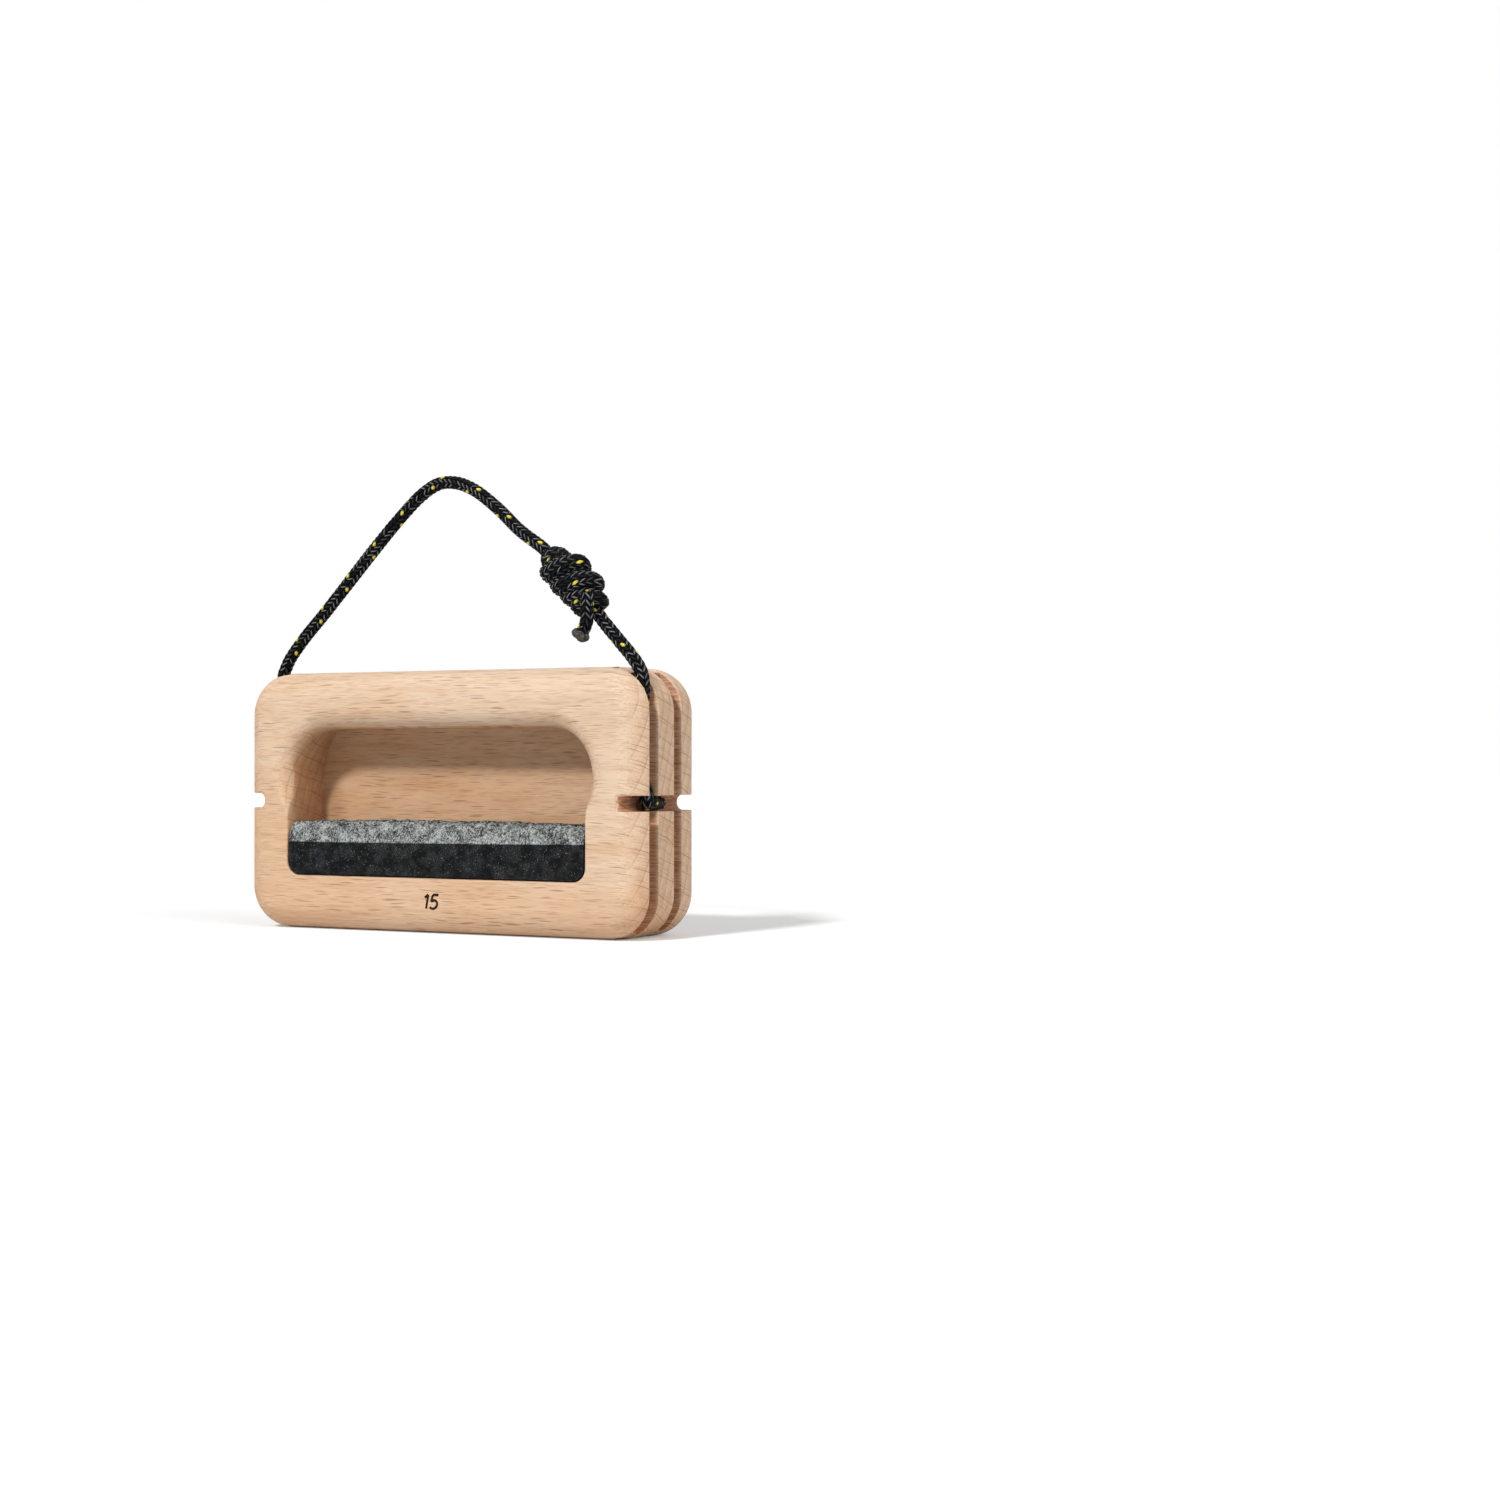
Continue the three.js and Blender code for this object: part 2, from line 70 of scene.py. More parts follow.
# Finger pocket
POCKET_WIDTH = 89.6
POCKET_SHIFT = -0.6
POCKET_FLOOR = 14
POCKET_TOP = 51.4
POCKET_DEPTH = 15
POCKET_UPPER_RADIUS = 12
POCKET_REAR_CORNER = (6, 16)
POCKET_LOWER_RADIUS = 3.5
POCKET_LOW_EASE = 0.6
POCKET_HIGH_EASE = 5.3
EASE_START = 29.5
EASE_FULL = 38
POCKET_LEFT = POCKET_SHIFT - POCKET_WIDTH / 2
POCKET_RIGHT = POCKET_SHIFT + POCKET_WIDTH / 2
POCKET_BACK = POCKET_DEPTH - HALF_DEPTH

# Stone edge
STONE_GAP = 0.3
STONE_RIM = 13.8
STONE_RIM_SHARES = [0.978, 1, 1.022, 1.007, 1.014, 0.993, 0.978]
STONE_POLISHED = 8.55
STONE_POLISHED_SHARES = [0.985, 0.985, 0.99, 1, 1.01, 1.03, 1.05]
STONE_NOSE = 2.7
STONE_NOSE_SHARES = [(0, 0), (0.22, 0.62), (0.55, 0.88), (1, 1)]
STONE_BACK_DROP = 0.25
STONE_SHARP_ANGLE = math.radians(50)
# Relief of the rough stone backwards and upwards, and the lengths over which its ends change
STONE_COARSE_RELIEF = (0.18, 0.40)
STONE_FINE_RELIEF = (0.16, 0.20)
END_FADE = 0.8
END_ROUND = 0.9

# Grooves, notches and bore
CORD_DIAMETER = 3.2
CORD_RADIUS = CORD_DIAMETER / 2
CORD_GAP = 0.3
GROOVE_PLAY = 0.25
END_GAP = 0.3
GROOVE_DEPTH = 6.3
GROOVE_WIDTH = CORD_DIAMETER + 2 * GROOVE_PLAY
FRONT_GROOVE_Y = -8.4
REAR_GROOVE_Y = 2.8
NOTCH_HEIGHT = 33
NOTCH_DEPTH = 6.6
NOTCH_OPENING = CORD_DIAMETER + 2 * CORD_GAP
NOTCH_CORNER_RADIUS = 1.8
NOTCH_EASE = 1.35
MOUTH_EASE = 0.2
BORE_Y = 3.1
BORE_SIDES = 40
GROOVE_FLOOR = HALF_LENGTH - GROOVE_DEPTH
NOTCH_FLOOR = HALF_LENGTH - NOTCH_DEPTH
CORD_LINE = GROOVE_FLOOR + CORD_RADIUS + CORD_GAP
OVERRUN = 1

# The cord's way along the right notch and up the grooves, and the line that the loop swings on
SWEEP_REACH = 1.6
NOTCH_BOW = 1.65
TURN_BOW = 2.1
HELD_TOP = 44
EXIT_RISE = 2
LEFT_EXIT = np.array([1.1 - HALF_LENGTH, REAR_GROOVE_Y - 1.5, BLOCK_HEIGHT + EXIT_RISE])
RIGHT_EXIT = np.array([HALF_LENGTH - 6.1, FRONT_GROOVE_Y, BLOCK_HEIGHT + EXIT_RISE])
LEFT_FOOT_SHARES = [(0, 0, 0), (0.12, 0, 2.4), (0.7, 0, 4.1), (1.38, 0.04, 5.5), (1.55, 0.24, 6.5)]
RIGHT_FOOT_SHARES = [(0, 0, 0), (0.1, 0, 2.7), (0.3, 0, 4.3), (0.36, 0, 5.4), (0.14, 0, 6.4)]

# The loop, in shares of the span between its exits and of its rise above them
LOOP_RISE = 45.8
ARC_SHARES = [
    (0.0125, 0.0502), (0.0545, 0.1605), (0.1254, 0.3164), (0.1997, 0.4871),
    (0.273, 0.6552), (0.357, 0.8365), (0.4163, 0.9454), (0.4661, 0.9989),
    (0.5154, 0.9967), (0.5671, 0.9498), (0.6352, 0.8354), (0.694, 0.7127),
]
RIGHT_LEG_SHARES = [(0.9317, 0.173), (0.969, 0.0789)]

# The knot and its tails
KNOT_SPAN_SHARE = 0.8347
KNOT_RISE_SHARE = 0.4192
KNOT_ANGLE = math.radians(45.2)
BARREL_LENGTH = 9.9
KNOT_HALF = BARREL_LENGTH + END_GAP / 2
KNOT_MOUTH = KNOT_HALF + END_GAP
FRONT_TAIL_SHARES = [
    (2.35, 0.9, 1.12), (2.75, 0.7, 1.2), (3.49, 0.01, 1.28),
    (3.98, -0.47, 1.3), (4.21, -0.98, 1.3), (4.38, -1.6, 1.36),
]
REAR_TAIL_SHARES = [
    (-2.35, -0.7, -1.12), (-2.85, -0.75, -1.3), (-3.3, -0.87, -1.75), (-3.56, -0.94, -2.3),
]
TAIL_END_RADIUS = 2.25
TAIL_END_THICKNESS = 1.5
BEAD_RELIEF = 0.22
BEAD_SHRINK = 0.05
BEAD_POLE = 0.02
BEAD_ROWS = 36
BEAD_SIDES = 64

# The knot's strand. After each number of half turns, it lies so far along the knot and so far
# out from its axis. Whole odd numbers are its left edge, and even ones its right edge.
STRAND_TURNS = [-0.5, 0, 1, 2, 3, 4, 5, 6, 7, 7.5]
STRAND_DOWN = [-8.2, -6.6, -6.3, -0.9, -2.2, 5.2, 2.0, 9.6, 6.4, 8.2]
STRAND_REACH = [1.2, 2.7, 3.2, 5.5, 3.3, 5.3, 3.3, 3.0, 3.1, 1.2]
STRAND_DEPTH_SHARE = 0.85
STRAND_HALF_WIDTH = 2.35
STRAND_SPLIT = 2.5
STRAND_STEP = 0.25
CORE_SHIFT = 0.5
CORE_REACH = (1.9, 2.7)
CORE_DEPTH = (1.8, 1.5)
CORE_INSET = 0.1
CORE_ROWS = 60
CORE_SIDES = 96
CORE_COLUMNS = 16

# Braid of the cord
BRAID_COLUMNS = 8
STITCH_PITCH = 1.507
STITCH_SLANT = 1.0
STITCH_RELIEF = 0.34
STITCH_MEAN = 0.75
FLECK_ROWS = 8
TUBE_STEP = 0.17
TUBE_SIDES = 72
HELD_STEP = 0.2
HELD_SIDES = 48
WRAP_COLUMNS = 12

# Where the braid starts along a piece in millimetres, and how far its columns are turned round the
# cord, as shares of a turn at lengths along it
LEFT_PHASE = 5.81
LEFT_TWIST = ([50, 105], [0.0917, 0.3137])
RIGHT_PHASE = 8.7
RIGHT_TWIST = ([0, 1], [0.0139, 0.0139])
PLAIN_TWIST = ([0, 1], [0.0625, 0.0625])
HELD_PHASE = 9.0
CORE_PHASE = 3.5
FRONT_TAIL_PHASE = 4.0
REAR_TAIL_PHASE = 1.0

# Camera, fitted to the photograph. Its clip start is in metres.
CAMERA_AT = (334.519, -486.585, 42.961)
CAMERA_YAW = 0.48
CAMERA_PITCH = 0.005214
CAMERA_ROLL = 0.000197
CAMERA_LENS = 55.29
SENSOR_WIDTH = 36
CLIP_START = 0.01

# Floor and sky. The floor's reach is in metres, and its glow is for the camera alone.
FLOOR_REACH = 6.0
FLOOR_WHITE = (0.85, 0.85, 0.85)
FLOOR_GLOW = 0.24
SKY_LOW = (0.03, 0.03, 0.03)
SKY_HIGH = (0.44, 0.44, 0.44)


def add_object(name, data):
    made = bpy.data.objects.new(name, data)
    bpy.context.collection.objects.link(made)
    return made


def make_camera():
    """A camera at the photograph's place and angle."""
    data = bpy.data.cameras.new("camera")
    data.lens = CAMERA_LENS
    data.sensor_width = SENSOR_WIDTH
    data.clip_start = CLIP_START
    camera = add_object("camera", data)
    camera.location = Vector(CAMERA_AT) * MM
    turn = Matrix.Rotation(CAMERA_YAW, 4, "Z") @ Matrix.Rotation(math.pi / 2 + CAMERA_PITCH, 4, "X")
    camera.rotation_euler = (turn @ Matrix.Rotation(CAMERA_ROLL, 4, "Z")).to_euler()
    bpy.context.scene.camera = camera


make_camera()


# Meshes


def enclosed_volume(points, faces):
    """Six times the volume that triangles or quads enclose, by the sum of a . (b x c)."""
    total = 0.0
    for first in range(1, faces.shape[1] - 1):
        a = points[faces[:, 0]]
        b = points[faces[:, first]]
        c = points[faces[:, first + 1]]
        total += np.einsum("ij,ij->", a, np.cross(b, c))
    return total


def make_object(name, points, face_sets, material, values=None, wraps=None):
    """A smooth mesh object from points in millimetres, with its faces turned outwards.

    Values are numbers at the points, and wraps a UV pair for each corner of each set of faces."""
    if sum(enclosed_volume(points, faces) for faces in face_sets) < 0:
        face_sets = [faces[:, ::-1] for faces in face_sets]
        wraps = [pairs[:, ::-1] for pairs in wraps or []]
    mesh = bpy.data.meshes.new(name)
    faces = [face for group in face_sets for face in group.tolist()]
    mesh.from_pydata((points * MM).tolist(), [], faces)
    for title, numbers in (values or {}).items():
        attribute = mesh.attributes.new(title, "FLOAT", "POINT")
        attribute.data.foreach_set("value", numbers.astype(np.float32).ravel())
    if wraps:
        layer = mesh.uv_layers.new(name="braid")
        pairs = np.concatenate([corners.ravel() for corners in wraps])
        layer.data.foreach_set("uv", pairs.astype(np.float32))
    mesh.shade_smooth()
    mesh.materials.append(material)
    return add_object(name, mesh)


def round_angles(count):
    return 2 * math.pi * np.arange(count) / count


def closed_grid(points):
    """Points and faces of rows of rings, round in their second index, with a fan at each end."""
    rows, columns = points.shape[:2]
    count = rows * columns
    index = np.arange(count).reshape(rows, columns)
    after = np.roll(index, -1, axis=1)
    quads = np.stack([index[:-1], after[:-1], after[1:], index[1:]], axis=-1).reshape(-1, 4)
    low = np.stack([np.full(columns, count), after[0], index[0]], axis=-1)
    high = np.stack([np.full(columns, count + 1), index[-1], after[-1]], axis=-1)
    centres = np.stack([points[0].mean(axis=0), points[-1].mean(axis=0)])
    flat = np.concatenate([points.reshape(-1, 3), centres])
    return flat, [quads, np.concatenate([low, high])]


def wrapped_corners(turn, along, full=1.0):
    """UV pairs for the faces of the same grid: the turn round each ring, which goes on to its full
    turn at the ring's last face, and the length along."""
    onward = np.roll(turn, -1, axis=1)
    onward[:, -1] += full
    here = np.stack([turn, along], axis=-1)
    there = np.stack([onward, np.roll(along, -1, axis=1)], axis=-1)
    middle = (here + there) / 2
    quads = np.stack([here[:-1], there[:-1], there[1:], here[1:]], axis=-2).reshape(-1, 4, 2)
    low = np.stack([middle[0], there[0], here[0]], axis=-2)
    high = np.stack([middle[-1], here[-1], there[-1]], axis=-2)
    return [quads, np.concatenate([low, high])]


def ring_object(name, points, material, values=None, wraps=None):
    """A closed piece through rings, with each value given a mean at the two end points."""
    flat, faces = closed_grid(points)
    full = {}
    for title, numbers in (values or {}).items():
        ends = [numbers[0].mean(), numbers[-1].mean()]
        full[title] = np.concatenate([numbers.ravel(), ends])
    return make_object(name, flat, faces, material, full, wraps)


def lattice_noise(places, seed):
    """Smooth noise from -1 to 1: a fixed number at each whole place, from the fraction of a
    large sine, blended between the eight corners round a place by 3t^2 - 2t^3."""
    base = np.floor(places)
    part = places - base
    ease = part * part * (3 - 2 * part)
    total = np.zeros(places.shape[:-1])
    for corner in np.ndindex(2, 2, 2):
        cell = base + np.array(corner)
        swirl = np.sin(cell @ np.array([12.9898, 78.233, 37.719]) + seed * 4.117) * 43758.5453
        value = 2 * (swirl - np.floor(swirl)) - 1
        weight = np.prod(np.where(np.array(corner) == 1, ease, 1 - ease), axis=-1)
        total += weight * value
    return total


def layered_noise(places, seed, layers=4):
    """Noise of falling size: each layer is twice as fine and half as strong."""
    total = np.zeros(places.shape[:-1])
    for layer in range(layers):
        total += lattice_noise(places * 2**layer, seed + layer) / 2**layer
    return total


# Paths of the cord

CURVE_POINTS = 60
BEND_POINTS = 24


def smooth_path(points, spacing):
    """A centripetal Catmull-Rom curve through the points, resampled at even steps."""
    points = np.array(points, float)
    points = np.vstack([2 * points[0] - points[1], points, 2 * points[-1] - points[-2]])
    share = np.linspace(0, 1, CURVE_POINTS, endpoint=False)[:, None]
    pieces = []
    for first in range(len(points) - 3):
        p0, p1, p2, p3 = points[first:first + 4]
        d0, d1, d2 = (math.sqrt(np.linalg.norm(b - a)) for a, b in ((p0, p1), (p1, p2), (p2, p3)))
        m1 = ((p1 - p0) / d0 - (p2 - p0) / (d0 + d1) + (p2 - p1) / d1) * d1
        m2 = ((p2 - p1) / d1 - (p3 - p1) / (d1 + d2) + (p3 - p2) / d2) * d1
        cube = share**3
        square = share**2
        pieces.append(
            (2 * cube - 3 * square + 1) * p1 + (cube - 2 * square + share) * m1
            + (3 * square - 2 * cube) * p2 + (cube - square) * m2
        )
    return even_steps(np.vstack([*pieces, points[-2:-1]]), spacing)


def even_steps(points, spacing):
    """The same line with points at even distances along it."""
    steps = np.linalg.norm(np.diff(points, axis=0), axis=1)
    along = np.concatenate([[0], np.cumsum(steps)])
    count = max(2, round(along[-1] / spacing) + 1)
    even = np.linspace(0, along[-1], count)
    return np.stack([np.interp(even, along, points[:, axis]) for axis in range(3)], axis=1)


def length_of(points):
    return float(np.linalg.norm(np.diff(points, axis=0), axis=1).sum())


def bent(start, corner, end):
    """A quadratic bend from start to end that leaves and arrives along lines through corner."""
    share = np.linspace(0, 1, BEND_POINTS)[:, None]
    return (1 - share) ** 2 * start + 2 * share * (1 - share) * corner + share**2 * end


SPAN = RIGHT_EXIT - LEFT_EXIT
ALONG = SPAN / np.linalg.norm(SPAN)
UP = np.array([0.0, 0.0, 1.0])
FRONT = np.cross(ALONG, UP)


def in_loop(span_share, rise_share):
    """A point in the loop's upright plane."""
    return LEFT_EXIT + SPAN * span_share + UP * rise_share * LOOP_RISE


KNOT_CENTRE = in_loop(KNOT_SPAN_SHARE, KNOT_RISE_SHARE)
KNOT_AXIS = ALONG * math.cos(KNOT_ANGLE) - UP * math.sin(KNOT_ANGLE)
KNOT_ACROSS = ALONG * math.sin(KNOT_ANGLE) + UP * math.cos(KNOT_ANGLE)


def at_knot(down, across, forward):
    """Points from their places along the knot, across it and in front of it."""
    down, across, forward = (np.asarray(v, float)[..., None] for v in (down, across, forward))
    return KNOT_CENTRE + KNOT_AXIS * down + KNOT_ACROSS * across + FRONT * forward


def foot_points(side, groove_y, shares):
    """The cord's given places up a groove, counted in cord diameters from the held run."""
    return [
        np.array([
            side * (CORD_LINE + out * CORD_DIAMETER),
            groove_y - forward * CORD_DIAMETER,
            HELD_TOP + END_GAP + up * CORD_DIAMETER,
        ])
        for out, forward, up in shares
    ]


LEFT_ROUTE = [
    *foot_points(-1, REAR_GROOVE_Y, LEFT_FOOT_SHARES),
    LEFT_EXIT,
    *[in_loop(*place) for place in ARC_SHARES],
    at_knot(-KNOT_MOUTH - CORD_RADIUS, 0, 0),
    at_knot(-KNOT_MOUTH, 0, 0),
]
RIGHT_ROUTE = [
    *foot_points(1, FRONT_GROOVE_Y, RIGHT_FOOT_SHARES),
    RIGHT_EXIT,
    *[in_loop(*place) for place in reversed(RIGHT_LEG_SHARES)],
    at_knot(KNOT_MOUTH + CORD_RADIUS, 0, 0),
    at_knot(KNOT_MOUTH, 0, 0),
]


def arched(start, first_lead, last_lead, end):
    """A cubic curve from start to end, drawn towards its two leads."""
    share = np.linspace(0, 1, BEND_POINTS)[:, None]
    rest = 1 - share
    middle = 3 * rest**2 * share * first_lead + 3 * rest * share**2 * last_lead
    return rest**3 * start + middle + share**3 * end


def held_route():
    """The cord from the left groove through the bore and the right notch to the right groove."""
    def groove(side, y, z):
        return np.array([side * CORD_LINE, y, z])

    rise = NOTCH_HEIGHT + CORD_RADIUS + CORD_GAP
    left_mouth = np.array([-NOTCH_FLOOR, BORE_Y, NOTCH_HEIGHT])
    right_mouth = np.array([NOTCH_FLOOR, BORE_Y, NOTCH_HEIGHT])
    sweep_corner = right_mouth + np.array([SWEEP_REACH, 0, 0])
    turn_corner = groove(1, FRONT_GROOVE_Y, NOTCH_HEIGHT) + np.array([NOTCH_BOW, 0, 0])
    crossing = (turn_corner - sweep_corner) / np.linalg.norm(turn_corner - sweep_corner)
    turn_top = groove(1, FRONT_GROOVE_Y, rise) + np.array([TURN_BOW, 0, 0])
    return even_steps(np.vstack([
        groove(-1, REAR_GROOVE_Y, HELD_TOP),
        bent(
            groove(-1, REAR_GROOVE_Y, rise),
            groove(-1, REAR_GROOVE_Y, NOTCH_HEIGHT),
            np.array([-GROOVE_FLOOR, BORE_Y, NOTCH_HEIGHT]),
        ),
        left_mouth,
        bent(right_mouth, sweep_corner, sweep_corner + crossing * SWEEP_REACH),
        bent(turn_corner - crossing * (CORD_RADIUS + GROOVE_PLAY), turn_corner, turn_top),
        arched(
            turn_top,
            2 * turn_top - turn_corner,
            groove(1, FRONT_GROOVE_Y, HELD_TOP - 2 * CORD_DIAMETER),
            groove(1, FRONT_GROOVE_Y, HELD_TOP - CORD_DIAMETER),
        ),
        groove(1, FRONT_GROOVE_Y, HELD_TOP),
    ]), HELD_STEP)


# Braided cord


def braid(turn, along):
    """How high the braid stands, from 0 in a gap to 1 on a yarn.

    Columns of stitches run round the cord. A stitch slants up its column, the other way in each
    next column, so that two make a V, and it is an arch across and along. The cord's material
    works the same columns and rows out from the UV map."""
    place = turn * BRAID_COLUMNS
    column = np.floor(place)
    across = place - column
    slant = np.where(column % 2 == 0, STITCH_SLANT, -STITCH_SLANT)
    row = along / STITCH_PITCH + slant * (across - 0.5)
    down = row - np.floor(row)
    return (4 * across * (1 - across)) ** 0.3 * (4 * down * (1 - down)) ** 0.5


def frames_along(path, guide):
    """Two directions square to the path at each point, from a guide never parallel to it."""
    tangent = np.gradient(path, axis=0)
    tangent /= np.linalg.norm(tangent, axis=1, keepdims=True)
    guide = np.broadcast_to(np.asarray(guide, float), path.shape)
    first = guide - tangent * np.sum(tangent * guide, axis=1, keepdims=True)
    first /= np.linalg.norm(first, axis=1, keepdims=True)
    return first, np.cross(tangent, first)


def braided_strand(
    name, path, guide, half_width, phase,
    twist=PLAIN_TWIST, columns=BRAID_COLUMNS, sides=TUBE_SIDES,
):
    """A braided cord along a path: at each step a ring of angle a round it, out by the cord's
    radius times cos a and sideways by a half width times sin a, both swelled by the braid. A wide
    strand has more columns, so its map goes round further than 1."""
    first, second = frames_along(path, guide)
    full = columns / BRAID_COLUMNS
    length = length_of(path) * np.linspace(0, 1, len(path))[:, None]
    turn = full * (np.arange(sides) / sides)[None, :] + 0 * length
    along = phase + length + 0 * turn
    swell = STITCH_RELIEF * (braid(turn, along) - STITCH_MEAN)
    angle = 2 * math.pi * (turn / full + np.interp(length, *twist))
    outward = ((CORD_RADIUS + swell) * np.cos(angle))[..., None] * first[:, None]
    sideways = ((half_width + swell) * np.sin(angle))[..., None] * second[:, None]
    wraps = wrapped_corners(turn, along, full)
    # A wide strand shows its flecks on every second stretch only.
    plain = (along // (FLECK_ROWS * STITCH_PITCH) % 2) * (full > 1)
    return ring_object(name, path[:, None] + outward + sideways, CORD, {"plain": plain}, wraps)


# Materials


class Field:
    """A value worked out at each place on a surface, with the usual arithmetic."""

    def __init__(self, tree, socket):
        self.tree = tree
        self.socket = socket

    def __rsub__(self, other):
        return self.tree.math("SUBTRACT", other, self)

    def __abs__(self):
        return self.tree.math("ABSOLUTE", self)


def arithmetic(operation):
    return lambda field, other: field.tree.math(operation, field, other)


# Python's signs between fields make math nodes.
for sign, operation in {
    "add": "ADD", "sub": "SUBTRACT", "mul": "MULTIPLY", "truediv": "DIVIDE", "pow": "POWER",
    "mod": "FLOORED_MODULO", "lt": "LESS_THAN", "gt": "GREATER_THAN",
}.items():
    setattr(Field, f"__{sign}__", arithmetic(operation))


class Tree:
    """Short calls for a node tree."""

    def __init__(self, owner):
        owner.use_nodes = True
        self.tree = owner.node_tree
        self.tree.nodes.clear()

    def node(self, kind, inputs=None, **settings):
        node = self.tree.nodes.new(kind)
        for key, value in settings.items():
            setattr(node, key, value)
        for key, value in (inputs or {}).items():
            self.join(value, node.inputs[key])
        return node

    def field(self, kind, output=0, inputs=None, **settings):
        """One output of a new node."""
        return Field(self, self.node(kind, inputs, **settings).outputs[output])

    def join(self, value, socket):
        if isinstance(value, Field):
            self.tree.links.new(value.socket, socket)
        elif socket.type == "RGBA":
            socket.default_value = (*value, 1)
        else:
            socket.default_value = value

    def finish(self, kind, shader):
        self.join(shader, self.node(kind).inputs["Surface"])

    def math(self, operation, a, b=0.0):
        return self.field("ShaderNodeMath", 0, {0: a, 1: b}, operation=operation)

    def scaled(self, place, by):
        inputs = {0: place, 1: by}
        return self.field("ShaderNodeVectorMath", "Vector", inputs, operation="MULTIPLY")

    def millimetres(self):
        """Object coordinates in millimetres."""
        return self.scaled(self.field("ShaderNodeTexCoord", "Object"), (1 / MM, 1 / MM, 1 / MM))

    def dot(self, place, by):
        inputs = {0: place, 1: by}
        return self.field("ShaderNodeVectorMath", "Value", inputs, operation="DOT_PRODUCT")

    def axes(self, vector):
        parts = self.node("ShaderNodeSeparateXYZ", {0: vector}).outputs
        return [Field(self, part) for part in parts]

    def flat(self, a, b):
        """A place with two coordinates."""
        return self.field("ShaderNodeCombineXYZ", 0, {"X": a, "Y": b})

    def blue(self, colour):
        return self.field("ShaderNodeSeparateColor", "Blue", {0: colour})

    def ease(self, value, low, high):
        """0 at low and 1 at high, smooth between; low may be the larger."""
        span = {"Value": value, "From Min": low, "From Max": high}
        return self.field("ShaderNodeMapRange", "Result", span, interpolation_type="SMOOTHSTEP")

    def blend(self, share, a, b, kind="MIX"):
        parts = {0: share, 6: a, 7: b}
        return self.field("ShaderNodeMix", 2, parts, data_type="RGBA", blend_type=kind)

    def tint(self, share, colour, by):
        return self.blend(share, colour, by, "MULTIPLY")

    def noise(self, place, scale, detail, roughness=0.5):
        settings = {"Vector": place, "Scale": scale, "Detail": detail, "Roughness": roughness}
        return self.field("ShaderNodeTexNoise", "Fac", settings)

    def stretched(self, place, by, detail, roughness=0.5):
        """Noise drawn out along the axes that are scaled least."""
        return self.noise(self.scaled(place, by), 1.0, detail, roughness)

    def cells(self, place, scale, output):
        return self.field("ShaderNodeTexVoronoi", output, {"Vector": place, "Scale": scale})

    def attribute(self, title):
        return self.field("ShaderNodeAttribute", "Fac", attribute_name=title)


def new_material(name):
    material = bpy.data.materials.new(name)
    return material, Tree(material)


def finish_material(tree, colour, roughness, height, depth, specular):
    """A Principled surface with a colour, a roughness and a bump of a depth in metres."""
    relief = {"Height": height, "Distance": depth, "Strength": 1.0}
    bump = tree.field("ShaderNodeBump", "Normal", relief)
    shader = tree.field("ShaderNodeBsdfPrincipled", 0, {
        "Base Color": colour, "Roughness": roughness, "Normal": bump,
        "Specular IOR Level": specular,
    })
    tree.finish("ShaderNodeOutputMaterial", shader)


# Directions in the block's ends: rays run back and slightly down and are thin the other way,
# and the growth rings lie square to them
RAY = (0.0, 0.947, -0.322)
THIN = (0.0, 0.322, 0.947)

# Colours of the wood, and the tints that parts of it are multiplied by
BOARD_PALE = (0.745, 0.570, 0.420)
BOARD_WARM = (0.680, 0.455, 0.292)
BAND_TINT = (0.90, 0.84, 0.78)
FIBRE_PALE_TINT = (1.13, 1.12, 1.10)
FIBRE_DARK_TINT = (0.74, 0.67, 0.61)
RING_EARLY = (0.50, 0.31, 0.19)
RING_LATE = (0.32, 0.175, 0.10)
RAY_FINE = (0.38, 0.205, 0.11)
RAY_BOLD = (0.24, 0.118, 0.058)
RAY_LONG = (0.25, 0.115, 0.058)
END_TINT = (0.99, 0.89, 0.81)
# Groove and notch tints: partly burn from the cutter and the cord, partly painted shade. Pocket
# tints: painted shade, with painted shadow in its upper part and on its left wall.
SAWN_BURNT_SHADED_DARK_TINT = (0.62, 0.42, 0.33)
SAWN_BURNT_SHADED_PALE_TINT = (0.92, 0.74, 0.62)
POCKET_SHADE_TINT = (0.97, 0.86, 0.76)
POCKET_SHADOW_TINT = (0.80, 0.77, 0.74)
RING_SPACING = 2.9
LONG_RAY_SPACING = 4.4


def ray_cells(tree, along, square, long, thin, size, kept):
    """Flat bands of ray cells, seen as dashes along the grain and as lines across the end.

    Cells are long on the grain and thin square to the rays. A band lies about the middle of a
    kept share of them, and its strength differs from cell to cell."""
    place = {"Vector": tree.flat(along / long, square / thin), "Scale": 1.0}
    cells = tree.node("ShaderNodeTexVoronoi", place, voronoi_dimensions="2D").outputs
    near = tree.ease(Field(tree, cells["Distance"]), size, size * 0.45)
    strength = tree.blue(Field(tree, cells["Color"]))
    return near * tree.ease(strength, 1 - kept, 1.0)


